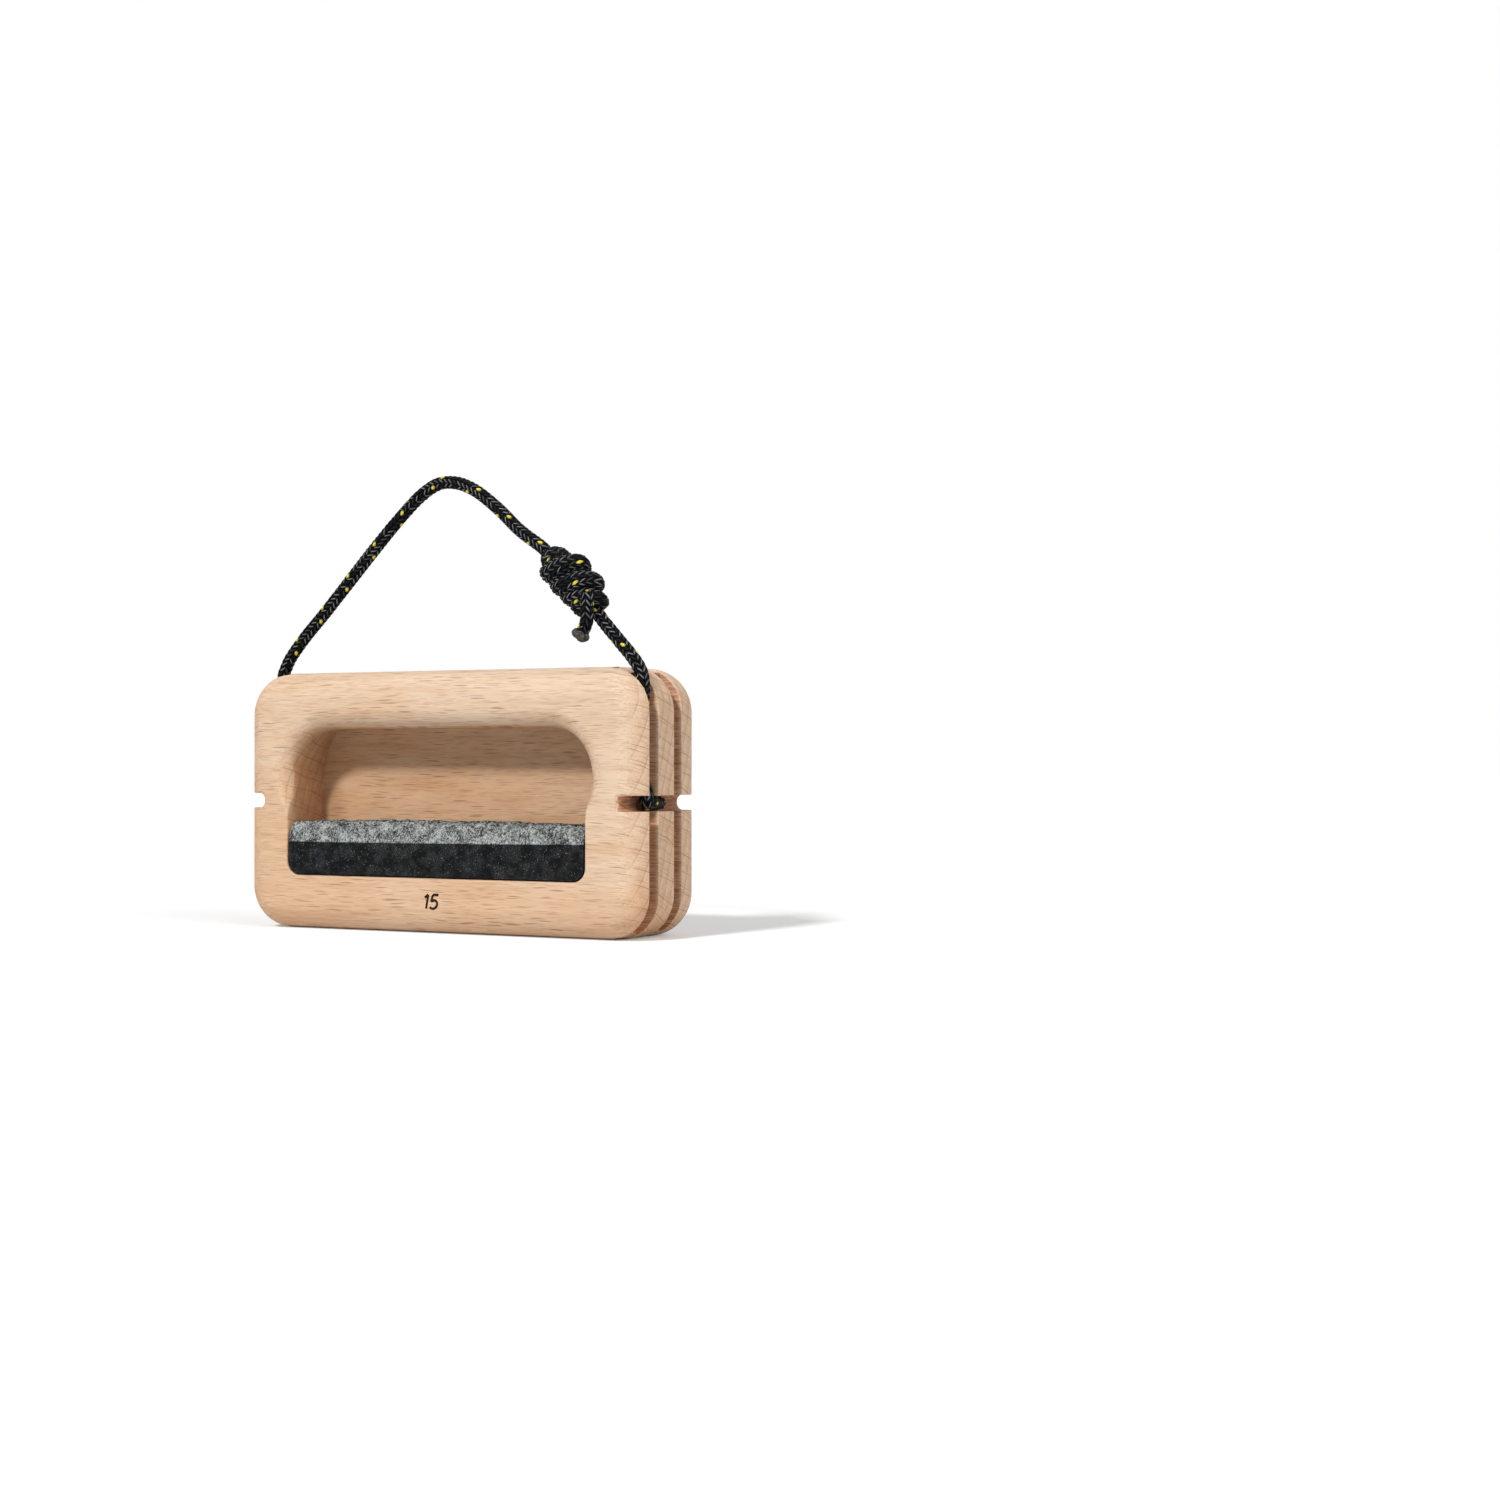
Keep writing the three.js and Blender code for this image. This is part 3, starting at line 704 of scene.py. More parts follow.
def wood_material():
    """Pale beech: dashes of ray cells along the grain, a net of rays and rings on the ends, fine
    fibres, grooves darkened partly by the cutter and partly by painted shade, and a pocket
    darkened by painted shade and painted shadow."""
    material, tree = new_material("beech")
    place = tree.millimetres()
    x, y, z = tree.axes(place)
    facing = abs(tree.axes(tree.field("ShaderNodeTexCoord", "Normal"))[0])
    end = tree.ease(facing, 0.2, 0.8)

    # Painted light: the board is made paler towards its top and its right end.
    painted_light_lean = tree.dot(place, (0.0022, 0.0, 0.0052)) * -1.0
    broad = tree.stretched(place, (0.025, 0.10, 0.10), 3.0) + (painted_light_lean + 0.17)
    colour = tree.blend(tree.ease(broad, 0.25, 0.75), BOARD_PALE, BOARD_WARM)
    band = tree.stretched(place, (0.03, 0.6, 0.6), 3.0, 0.6)
    colour = tree.tint(tree.ease(band, 0.42, 0.72), colour, BAND_TINT)

    fibre = tree.stretched(place, (0.14, 3.4, 3.4), 3.0, 0.6)
    colour = tree.tint(tree.ease(fibre, 0.5, 0.8), colour, FIBRE_PALE_TINT)
    colour = tree.tint(tree.ease(fibre, 0.5, 0.22), colour, FIBRE_DARK_TINT)

    # Growth rings are faint on most sides, and thin dark lines where the end grain shows.
    wander = tree.stretched(place, (0.012, 0.035, 0.035), 2.0)
    ring = tree.math("FRACT", tree.dot(place, RAY) / RING_SPACING + wander * 0.9)
    late = tree.ease(ring, 0.84, 0.965) * tree.ease(ring, 1.0, 0.98)
    early = tree.ease(ring, 0.2, 0.95) * tree.ease(ring, 1.0, 0.97)
    late = late * (tree.ease(facing, 0.3, 1.0) * 0.38)
    early = early * (end * 0.16 + 0.05)
    colour = tree.blend(early, colour, RING_EARLY)
    colour = tree.blend(late, colour, RING_LATE)

    # Short rays, and a few broad ones that cross the whole end
    drift = tree.stretched(place, (0.03, 0.06, 0.06), 2.0)
    square = tree.dot(place, THIN) + drift * 3.0
    patchy = tree.ease(tree.stretched(place, (0.05, 0.09, 0.12), 2.0), 0.28, 0.6)
    bold = ray_cells(tree, x, square, long=11.0, thin=0.56, size=0.27, kept=0.7) * patchy
    fine = ray_cells(tree, x + 4.3, square, long=6.0, thin=0.33, size=0.32, kept=0.75)
    bold = bold * (0.74 - end * 0.33)
    colour = tree.blend(fine * 0.5, colour, RAY_FINE)
    colour = tree.blend(bold, colour, RAY_BOLD)
    sway = tree.stretched(place, (0.01, 0.01, 0.12), 1.0)
    long_ray = tree.math("FRACT", square / LONG_RAY_SPACING + sway * 1.2)
    long_ray = tree.ease(long_ray, 0.945, 0.975) * tree.ease(long_ray, 1.0, 0.98)
    long_ray = long_ray * (tree.ease(facing, 0.35, 0.8) * 0.75)
    colour = tree.blend(long_ray, colour, RAY_LONG)

    # End grain drinks more light than the long grain.
    colour = tree.tint(end * 0.6, colour, END_TINT)

    # The grooves and notches are darker, partly from the cutter and the cord and partly as painted
    # shade of these narrow recesses, and the saw has left fine lines in them.
    outward = abs(x)
    inside = tree.ease(outward, HALF_LENGTH - 0.1, HALF_LENGTH - 1.3)
    inside = inside * (outward > NOTCH_FLOOR - 0.1)
    cuts = 0.0
    for axis, centre, width in (
        (y, FRONT_GROOVE_Y, GROOVE_WIDTH),
        (y, REAR_GROOVE_Y, GROOVE_WIDTH),
        (z, NOTCH_HEIGHT, NOTCH_OPENING),
    ):
        cuts = tree.math("MAXIMUM", abs(axis - centre) < width / 2 + 0.02, cuts)
    saw = tree.stretched(place, (0.15, 0.15, 3.0), 1.0)
    sawn_burnt_shaded = tree.blend(tree.ease(saw, 0.35, 0.65), SAWN_BURNT_SHADED_DARK_TINT, SAWN_BURNT_SHADED_PALE_TINT)
    colour = tree.tint(inside * cuts, colour, sawn_burnt_shaded)

    # Painted shade: the pocket is tinted deeper and warmer as if shaded in its recess, and deeper
    # still in its upper part and on its left wall, as painted shadow under its lip and beside that
    # wall.
    pocket_shade = tree.ease(y, -14.0, -11.0) * (y < 0.35)
    pocket_shade = pocket_shade * (abs(x - POCKET_SHIFT) < POCKET_WIDTH / 2 + 0.4)
    pocket_shade = pocket_shade * (z < POCKET_TOP + 0.5) * (z > POCKET_FLOOR - 0.5)
    colour = tree.tint(pocket_shade, colour, POCKET_SHADE_TINT)
    pocket_shadow = tree.math("MAXIMUM", tree.ease(z, 33.0, 42.0), tree.ease(x, -36.0, -43.0))
    colour = tree.tint(pocket_shade * pocket_shadow, colour, POCKET_SHADOW_TINT)

    pores = fibre * 0.6 + bold * -0.7
    finish_material(tree, colour, fibre * 0.16 + 0.48, pores, 0.03 * MM, 0.22)
    return material


def burnt_material():
    """Char in the strokes of the figure, blacker in some places than in others."""
    material, tree = new_material("burnt_figure")
    place = tree.millimetres()
    soot = tree.noise(place, 3.0, 3.0, 0.6)
    share = tree.ease(soot, 0.3, 0.7)
    colour = tree.blend(share, (0.012, 0.008, 0.006), (0.05, 0.028, 0.018))
    finish_material(tree, colour, 0.75, soot, 0.05 * MM, 0.1)
    return material


def stone_material():
    """Dark granite: near black with cloudy grey specks where polished, and grey with light and
    dark grains and dark pits where rough."""
    material, tree = new_material("granite")
    place = tree.millimetres()
    rough = tree.attribute("rough")
    value = tree.blue(tree.cells(place, 3.1, "Color"))
    fine = tree.noise(place, 3.6, 4.0, 0.74)
    cloud = tree.noise(place, 0.36, 3.0, 0.6)
    mix = (value * 0.26 + fine * 0.82) + (cloud - 0.5) * 0.62
    pale = tree.blend(tree.ease(mix, 0.34, 0.82), (0.024, 0.027, 0.028), (0.56, 0.60, 0.58))
    pit = tree.ease(tree.noise(place, 1.15, 2.0), 0.40, 0.31)
    pale = tree.blend(pit * 0.75, pale, (0.012, 0.014, 0.015))
    spark = tree.ease(tree.cells(place, 1.3, "Distance"), 0.15, 0.07)
    pale = tree.blend(spark * 0.5, pale, (0.60, 0.63, 0.60))
    pale = tree.blend(tree.attribute("crest"), pale, (0.010, 0.011, 0.011))

    tone = tree.ease(tree.noise(place, 0.3, 2.0), 0.4, 0.62)
    dark = tree.blend(tone, (0.0052, 0.0052, 0.0050), (0.0040, 0.0052, 0.0066))
    speck = tree.ease(fine, 0.44, 0.74) * tree.ease(cloud, 0.36, 0.68)
    dark = tree.blend(speck * 0.66, dark, (0.185, 0.200, 0.205))
    glitter = tree.ease(value, 0.90, 0.97) * tree.ease(fine, 0.48, 0.6)
    dark = tree.blend(glitter * 0.45, dark, (0.30, 0.31, 0.30))

    height = (fine + value - pit) * rough
    colour = tree.blend(rough, dark, pale)
    finish_material(tree, colour, rough * 0.5 + 0.32, height, 0.16 * MM, 0.07)
    return material


def cord_material():
    """Braided polyester: near black, darker in the gaps between stitches as painted shade, thin
    grey strokes along the yarns as painted highlights, and yellow tracer flecks.

    The UV map gives the turn round the cord and the length along it. In each even column one
    stitch in eight rows is the tracer, two rows back from the one in the even column before.
    Places marked plain have none."""
    material, tree = new_material("braided_cord")
    turn, along, _ = tree.axes(tree.field("ShaderNodeUVMap", uv_map="braid"))
    place = turn * BRAID_COLUMNS
    column = tree.math("FLOOR", place)
    across = place - column
    odd = column % 2
    slant = (STITCH_SLANT - odd * (2 * STITCH_SLANT)) * (across - 0.5)
    row = along / STITCH_PITCH + slant
    stitch = tree.math("FLOOR", row)

    off_middle = abs(across - 0.5)
    off_crest = abs(row - stitch - 0.5)
    arch = tree.ease(off_middle, 0.5, 0.30) * tree.ease(off_crest, 0.5, 0.26)
    cell = {"Vector": tree.flat(column, stitch)}
    chance = tree.field("ShaderNodeTexWhiteNoise", "Value", cell, noise_dimensions="2D")
    # Painted highlights: thin grey strokes along the yarn crests, in place of glints on the
    # filaments.
    stroke = tree.ease(off_crest, 0.19, 0.08) * tree.ease(off_middle, 0.45, 0.32)
    stroke = stroke * tree.ease(chance, 0.1, 0.8)
    # Painted shade: the gaps between the stitch arches are darker than the arches.
    yarn = tree.blend(arch, (0.0008, 0.0009, 0.001), (0.0055, 0.006, 0.0065))
    colour = tree.blend(stroke * 0.6, yarn, (0.30, 0.305, 0.33))

    # A tracer stitch shows as a round fleck, so it is measured in millimetres from its middle.
    fleck = ((stitch + column) % FLECK_ROWS < 0.5) * (1.0 - odd)
    side_mm = off_middle * (2 * math.pi * CORD_RADIUS / BRAID_COLUMNS)
    up_mm = (along - (stitch + 0.5) * STITCH_PITCH) * 0.86
    away = tree.math("SQRT", side_mm**2.0 + up_mm**2.0)
    fleck = fleck * tree.ease(away, 0.70, 0.56) * (1.0 - tree.attribute("plain"))
    tracer = tree.blend(tree.ease(away, 0.62, 0.25), (0.36, 0.25, 0.02), (0.76, 0.66, 0.10))
    finish_material(tree, tree.blend(fleck, colour, tracer), 0.5, arch, 0.12 * MM, 0.05)
    return material


def melted_material():
    """The cord's end, melted to a hard dark crust with paler patches."""
    material, tree = new_material("melted_end")
    place = tree.millimetres()
    crust = tree.noise(place, 1.3, 4.0, 0.65)
    share = tree.ease(crust, 0.38, 0.72)
    colour = tree.blend(share, (0.010, 0.009, 0.009), (0.13, 0.115, 0.105))
    finish_material(tree, colour, 0.5, crust, 0.25 * MM, 0.3)
    return material


# The figure that gives the edge's depth in millimetres, in shares of its height across and up
MARK_AT = (-0.5, 8.2)
MARK_HEIGHT = 3.5
MARK_STROKE_RADIUS = 0.33
MARK_SHEAR = 0.2
MARK_MIDDLE = 0.6
MARK_SIDES = 16
MARK_STEP = 0.15
MARK_STROKES = [
    [(0.04, 0.77), (0.3, 1.0)],
    [(0.3, 1.0), (0.3, 0.0)],
    [(1.18, 1.0), (0.7, 1.0)],
    [(0.7, 1.0), (0.64, 0.5)],
    [(0.64, 0.5), (0.9, 0.61), (1.15, 0.46), (1.16, 0.18), (0.9, 0.0), (0.58, 0.1)],
]

WOOD = wood_material()
BURNT = burnt_material()
STONE = stone_material()
CORD = cord_material()
MELTED = melted_material()


def assign(piece, slot, body, *nodes):
    """The piece's material slot, which is not used, the body it rides on and the CAD nodes it
    stands for.
    """
    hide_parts(*nodes)
    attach(piece, body)


# Cord pieces


def make_cords():
    """The two free lengths of the loop, each a braided tube from its groove over the block's top.
    """
    pieces = {}
    for side, route, exit_at, phase, twist in (
        ("left", LEFT_ROUTE, LEFT_EXIT, LEFT_PHASE, LEFT_TWIST),
        ("right", RIGHT_ROUTE, RIGHT_EXIT, RIGHT_PHASE, RIGHT_TWIST),
    ):
        path = smooth_path(route, TUBE_STEP)
        piece = braided_strand(f"{side}_cord", path, FRONT, CORD_RADIUS, phase, twist)
        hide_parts(f"cord_{side}_foot", f"cord_{side}_leg")
        near = np.argmin(np.linalg.norm(path - exit_at, axis=1))
        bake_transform(piece)
        pieces[side] = (piece, path)
    held = braided_strand(
        "held_cord", held_route(), (1, 1, 1), CORD_RADIUS, HELD_PHASE, sides=HELD_SIDES
    )
    assign(held, "cord", "block", "cord_held_run")
    return pieces


def knot_strand():
    """The strand's line as places along, across and in front of the knot, and its half turns.

    It goes round an oval: across is its reach times the cosine of its turn, and in front is a
    share of that reach times minus the sine, so that it goes behind first."""
    turns = np.arange(STRAND_TURNS[0], STRAND_TURNS[-1] + STRAND_STEP / 2, STRAND_STEP)
    down = np.interp(turns, STRAND_TURNS, STRAND_DOWN)
    reach = np.interp(turns, STRAND_TURNS, STRAND_REACH)
    across = reach * np.cos(math.pi * turns)
    forward = -STRAND_DEPTH_SHARE * reach * np.sin(math.pi * turns)
    line = smooth_path(np.stack([down, across, forward], axis=1), TUBE_STEP)
    return line, np.interp(np.linspace(0, 1, len(line)), np.linspace(0, 1, len(turns)), turns)


def make_wraps():
    """The knot's strand, wide along the knot and split in two where it is behind it."""
    line, turns = knot_strand()
    path = at_knot(*line.T)
    outward = at_knot(*(line * (0, 1, 1)).T) - KNOT_CENTRE
    split = int(np.searchsorted(turns, STRAND_SPLIT))
    step = length_of(path) / (len(path) - 1)
    pieces = []
    for title, keep in (("upper", slice(0, split + 1)), ("lower", slice(split, None))):
        phase = step * (keep.start or 0)
        pieces.append((title, braided_strand(
            f"{title}_wraps", path[keep], outward[keep], STRAND_HALF_WIDTH, phase,
            columns=WRAP_COLUMNS,
        )))
    return pieces


def make_core(title, start):
    """The strands inside a barrel as one braided body: oval rings whose reach and depth are a
    least size and a bulge, which is the square root of 1 less the square of the place along the
    knot, from -1 to 1."""
    full = CORE_COLUMNS / BRAID_COLUMNS
    share = np.linspace(0, 1, CORE_ROWS)[:, None]
    turn = full * (np.arange(CORE_SIDES) / CORE_SIDES)[None, :] + 0 * share
    down = start + CORE_INSET + (BARREL_LENGTH - 2 * CORE_INSET) * share + 0 * turn
    bulge = np.sqrt(np.clip(1 - (down / KNOT_HALF) ** 2, 0, 1))
    swell = STITCH_RELIEF * (braid(turn, down) - STITCH_MEAN)
    angle = 2 * math.pi * turn / full
    reach, depth = (least + more * bulge + swell for least, more in (CORE_REACH, CORE_DEPTH))
    across = CORE_SHIFT * bulge + reach * np.cos(angle)
    forward = depth * np.sin(angle)
    return ring_object(
        f"{title}_core", at_knot(down, across, forward), CORD,
        {"plain": np.ones(turn.shape)}, wrapped_corners(turn, down + CORE_PHASE, full),
    )


def make_tail(name, shares, node, phase):
    """A short tail of the cord and the melted bead on its end."""
    path = smooth_path(at_knot(*(np.array(shares).T * CORD_DIAMETER)), TUBE_STEP)
    tail = braided_strand(name, path, FRONT, CORD_RADIUS, phase)
    first, second = frames_along(path, FRONT)
    axis = path[-1] - path[-2]
    axis /= np.linalg.norm(axis)
    polar = np.linspace(BEAD_POLE, math.pi - BEAD_POLE, BEAD_ROWS)[:, None]
    angle = round_angles(BEAD_SIDES)[None, :]
    body = (
        path[-1]
        + TAIL_END_THICKNESS * (-np.cos(polar) + 0 * angle)[..., None] * axis
        + TAIL_END_RADIUS * (np.sin(polar) * np.cos(angle))[..., None] * first[-1]
        + TAIL_END_RADIUS * (np.sin(polar) * np.sin(angle))[..., None] * second[-1]
    )
    away = body - path[-1]
    away /= np.linalg.norm(away, axis=-1, keepdims=True)
    relief = BEAD_RELIEF * layered_noise(body * 1.1, seed=7) - BEAD_SHRINK
    body = body + away * relief[..., None]
    bead = ring_object(f"{name}_bead", body, MELTED)
    for piece in (tail, bead):
        assign(piece, "cord", "loop", node)
    return [tail, bead]


def make_knot():
    """Both barrels and both tails of the knot."""
    parts = make_wraps()
    for title, start in (("upper", -KNOT_HALF), ("lower", END_GAP / 2)):
        parts.append((title, make_core(title, start)))
    for title, piece in parts:
        assign(piece, "cord", "loop", f"knot_{title}_barrel")
    pieces = [piece for _, piece in parts]
    pieces += make_tail("front_tail", FRONT_TAIL_SHARES, "cord_tail_front", FRONT_TAIL_PHASE)
    pieces += make_tail("rear_tail", REAR_TAIL_SHARES, "cord_tail_rear", REAR_TAIL_PHASE)
    return pieces


cords = make_cords()
knot = make_knot()
for side, on_it in (("left", knot), ("right", [])):
    piece, path = cords[side]
    tuple(path[0] * MM)
    length_of(path) * MM
    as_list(on_it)


# Wooden body


def rounded_outline(left, right, bottom, top, lower, upper, corner_steps, side_steps):
    """Points and outward normals of a rounded rectangle: four quarter arcs of angle a, each at
    its centre plus its radius times (cos a, sin a), with even points along the sides between."""
    sweep = np.linspace(0, math.pi / 2, corner_steps + 1)
    corners = (
        (right - lower, bottom + lower, lower, -math.pi / 2),
        (right - upper, top - upper, upper, 0.0),
        (left + upper, top - upper, upper, math.pi / 2),
        (left + lower, bottom + lower, lower, math.pi),
    )
    arcs = []
    for x, z, radius, start in corners:
        normal = np.stack([np.cos(start + sweep), np.sin(start + sweep)], axis=1)
        arcs.append((np.array([x, z]) + radius * normal, normal))
    places, normals = [], []
    share = np.linspace(0, 1, side_steps + 1)[1:-1, None]
    for index, (place, normal) in enumerate(arcs):
        after = arcs[(index + 1) % 4][0][0]
        places += [place, place[-1] + (after - place[-1]) * share]
        normals += [normal, np.repeat(normal[-1:], len(share), axis=0)]
    return np.vstack(places), np.vstack(normals)


def ring_at(outline, grow, y):
    """A ring in space: the outline grown outwards by grow, at depth y."""
    places, normals = outline
    flat = places + normals * np.broadcast_to(grow, len(places))[:, None]
    depth = np.broadcast_to(y, len(places))
    return np.stack([flat[:, 0], depth, flat[:, 1]], axis=1)


def block_outline():
    return rounded_outline(
        -HALF_LENGTH, HALF_LENGTH, 0, BLOCK_HEIGHT, CORNER_RADIUS, CORNER_RADIUS,
        corner_steps=24, side_steps=6,
    )


def quarter(radius, steps):
    """How far a round edge is drawn in and how far it is set back, step by step."""
    angle = np.linspace(0, math.pi / 2, steps + 1)
    return radius * (1 - np.sin(angle)), radius * (1 - np.cos(angle))


def plain_solid(name, rings):
    """A solid for cutting, without a finish."""
    return ring_object(name, np.array(rings), WOOD)


def both_edges(outline, radius, steps, outwards):
    """Rings that round the front edge over and then the rear one, drawn in or spread outwards."""
    pairs = list(zip(*quarter(radius, steps)))
    front = [ring_at(outline, outwards * grow, back - HALF_DEPTH) for grow, back in pairs]
    rear = [ring_at(outline, outwards * grow, HALF_DEPTH - back) for grow, back in reversed(pairs)]
    return front + rear


def block_solid():
    """The block: rounded rectangles drawn in along quarter circles at its front and back."""
    return plain_solid("wood", both_edges(block_outline(), EDGE_ROUND, steps=14, outwards=-1))


def pocket_solid():
    """The pocket, its mouth rounded over by an amount that grows with height."""
    sides = (POCKET_LEFT, POCKET_RIGHT, POCKET_FLOOR, POCKET_TOP)
    outline = rounded_outline(
        *sides, POCKET_LOWER_RADIUS, POCKET_UPPER_RADIUS, corner_steps=20, side_steps=30
    )
    share = np.clip((outline[0][:, 1] - EASE_START) / (EASE_FULL - EASE_START), 0, 1)
    ease = POCKET_LOW_EASE + (POCKET_HIGH_EASE - POCKET_LOW_EASE) * share**2 * (3 - 2 * share)
    rings = [ring_at(outline, ease, -HALF_DEPTH - OVERRUN)]
    for inset, back in zip(*quarter(1.0, steps=14)):
        rings.append(ring_at(outline, ease * inset, ease * back - HALF_DEPTH))
    rings.append(ring_at(outline, 0, POCKET_BACK))
    # At the back the upper corners are tall quarter ovals.
    wide, tall = POCKET_REAR_CORNER
    rear = rings[-1]
    side = np.sign(rear[:, 0] - POCKET_SHIFT)
    rise = np.clip((rear[:, 2] - POCKET_TOP) / tall + 1, 0, 1)
    reach = POCKET_WIDTH / 2 - wide * (1 - np.sqrt(1 - rise**2))
    upper = (rear[:, 2] > POCKET_TOP - tall) & (rear[:, 2] < POCKET_TOP - 0.01)
    rear[upper, 0] = (POCKET_SHIFT + side * reach)[upper]
    return plain_solid("pocket", rings)


def notch_solid(side):
    """The notch across one end, flared at its front and rear mouths."""
    reach = sorted((side * NOTCH_FLOOR, side * (HALF_LENGTH + NOTCH_DEPTH)))
    low, high = (NOTCH_HEIGHT + up * NOTCH_OPENING / 2 for up in (-1, 1))
    outline = rounded_outline(
        *reach, low, high, NOTCH_CORNER_RADIUS, NOTCH_CORNER_RADIUS, corner_steps=12, side_steps=4
    )
    before, after = (
        ring_at(outline, NOTCH_EASE, way * (HALF_DEPTH + OVERRUN)) for way in (-1, 1)
    )
    edges = both_edges(outline, NOTCH_EASE, steps=12, outwards=1)
    return plain_solid("notch", [before, *edges, after])


def groove_solid(side, centre):
    """A groove over the full height of an end, with a flat floor."""
    half = GROOVE_WIDTH / 2
    outer = side * (HALF_LENGTH + OVERRUN)
    floor = side * GROOVE_FLOOR
    near, far = centre - half, centre + half
    section = np.array([(outer, near), (floor, near), (floor, far), (outer, far)])
    low, high = (
        np.column_stack([section, np.full(4, z)]) for z in (-OVERRUN, BLOCK_HEIGHT + OVERRUN)
    )
    return plain_solid("groove", [low, high])


def eased_mouth(name, places, normals, sideways, half_width, dips):
    """A cutter along a mouth's line that rounds both its edges over.

    Its section is the mouth's width, spread by a quarter circle up to the surface and a straight
    wall above it. Each side starts lower by its dip, where the surface there falls away."""
    inset, back = quarter(MOUTH_EASE, steps=6)
    side = half_width + inset
    low = np.stack([-back - dips[0], -side], axis=1)
    high = np.stack([-back - dips[1], side], axis=1)[::-1]
    over = np.array([[OVERRUN, half_width + MOUTH_EASE], [OVERRUN, -half_width - MOUTH_EASE]])
    section = np.vstack([low, high, over])
    rings = (
        places[:, None]
        + section[None, :, 0, None] * normals[:, None]
        + section[None, :, 1, None] * np.asarray(sideways, float)
    )
    return plain_solid(name, rings)


def groove_mouth(side, centre):
    """The eased mouth of a groove, down the end and round both its corners."""
    places, normals = block_outline()
    keep = places[:, 0] * side > HALF_LENGTH - CORNER_RADIUS - 0.01
    line, out = places[keep], normals[keep]
    order = np.argsort(line[:, 1])
    line, out = line[order], out[order]
    spread = np.insert(line, 1, centre, axis=1)
    facing = np.insert(out, 1, 0.0, axis=1)
    edge = HALF_DEPTH - EDGE_ROUND
    dips = []
    for lateral in (centre - GROOVE_WIDTH / 2, centre + GROOVE_WIDTH / 2):
        past = max(0.0, abs(lateral) - edge)
        dips.append(EDGE_ROUND - math.sqrt(EDGE_ROUND**2 - past**2))
    return eased_mouth("groove_mouth", spread, facing, (0, 1, 0), GROOVE_WIDTH / 2, dips)


def notch_mouth(side):
    """The eased mouth of a notch, round the block's plan from front to back."""
    angle = np.linspace(-math.pi / 2, 0, 15)
    corner = np.array([HALF_LENGTH - EDGE_ROUND, EDGE_ROUND - HALF_DEPTH])
    arc = np.stack([np.cos(angle), np.sin(angle)], axis=1)
    front = corner + EDGE_ROUND * arc
    places = np.vstack([front, front[::-1] * (1, -1)])
    normals = np.vstack([arc, arc[::-1] * (1, -1)])
    spread = np.insert(places * (side, 1), 2, NOTCH_HEIGHT, axis=1)
    facing = np.insert(normals * (side, 1), 2, 0.0, axis=1)
    return eased_mouth("notch_mouth", spread, facing, (0, 0, 1), NOTCH_OPENING / 2, (0, 0))


def bore_solid():
    """The lengthwise bore, a row of circles from notch to notch."""
    angle = round_angles(BORE_SIDES)
    circle = np.stack([0 * angle, np.cos(angle), np.sin(angle)], axis=1) * (CORD_RADIUS + CORD_GAP)
    reach = NOTCH_FLOOR + OVERRUN
    ends = [circle + np.array([x, BORE_Y, NOTCH_HEIGHT]) for x in (-reach, reach)]
    return plain_solid("bore", ends)


def mark_strokes():
    """The figure's strokes as round bars laid half into the front face, to be cut out of it."""
    bars = []
    for stroke in MARK_STROKES:
        across, up = np.array(stroke, float).T
        across = across - MARK_MIDDLE + MARK_SHEAR * (up - 0.5)
        points = np.stack([
            MARK_AT[0] + MARK_HEIGHT * across,
            np.full(len(up), -HALF_DEPTH),
            MARK_AT[1] + MARK_HEIGHT * (up - 0.5),
        ], axis=1)
        path = smooth_path(points, MARK_STEP)
        first, second = frames_along(path, (0, 1, 0))
        angle = round_angles(MARK_SIDES)
        ring = np.cos(angle)[:, None] * first[:, None] + np.sin(angle)[:, None] * second[:, None]
        bars.append(ring_object("mark_stroke", path[:, None] + MARK_STROKE_RADIUS * ring, BURNT))
    return bars


def cut_away(solid, cutters):
    """The solid less each cutter in turn, as its own new mesh, with each cutter's finish."""
    for cutter in cutters:
        cut = solid.modifiers.new("cut", "BOOLEAN")
        cut.object = cutter
        cut.operation = "DIFFERENCE"
        cut.solver = "EXACT"
        cut.material_mode = "TRANSFER"
    seen = solid.evaluated_get(bpy.context.evaluated_depsgraph_get())
    mesh = bpy.data.meshes.new_from_object(seen)
    solid.modifiers.clear()
    solid.data = mesh
    for cutter in cutters:
        bpy.data.objects.remove(cutter)


def make_wood():
    """The wooden body with every opening cut, smooth but for its real edges."""
    wood = block_solid()
    cutters = [pocket_solid(), bore_solid()]
    for side in (-1, 1):
        cutters += [notch_solid(side), notch_mouth(side)]
        for centre in (FRONT_GROOVE_Y, REAR_GROOVE_Y):
            cutters += [groove_solid(side, centre), groove_mouth(side, centre)]
    cut_away(wood, cutters + mark_strokes())
    wood.data.shade_smooth()
    wood.data.set_sharp_from_angle(angle=WOOD_SHARP_ANGLE)
    weigh = wood.modifiers.new("even_normals", "WEIGHTED_NORMAL")
    weigh.keep_sharp = True
    assign(wood, "wood", "block", "wooden_body")


make_wood()


# Stone edge

# Rows of points in each part of its section, and rows over which its roughness comes and goes
STONE_COLUMNS = 420
FRONT_ROWS = 24
NOSE_ROWS = 39
TOP_ROWS = 59
REAR_ROWS = 7
FLOOR_ROWS = 6
FADE_IN_ROWS = 6
FADE_OUT_ROWS = 19
CREST_ROWS = 3


def rising(count):
    """Even shares up to 1, without the 0 before them."""
    return np.linspace(0, 1, count + 1)[1:]


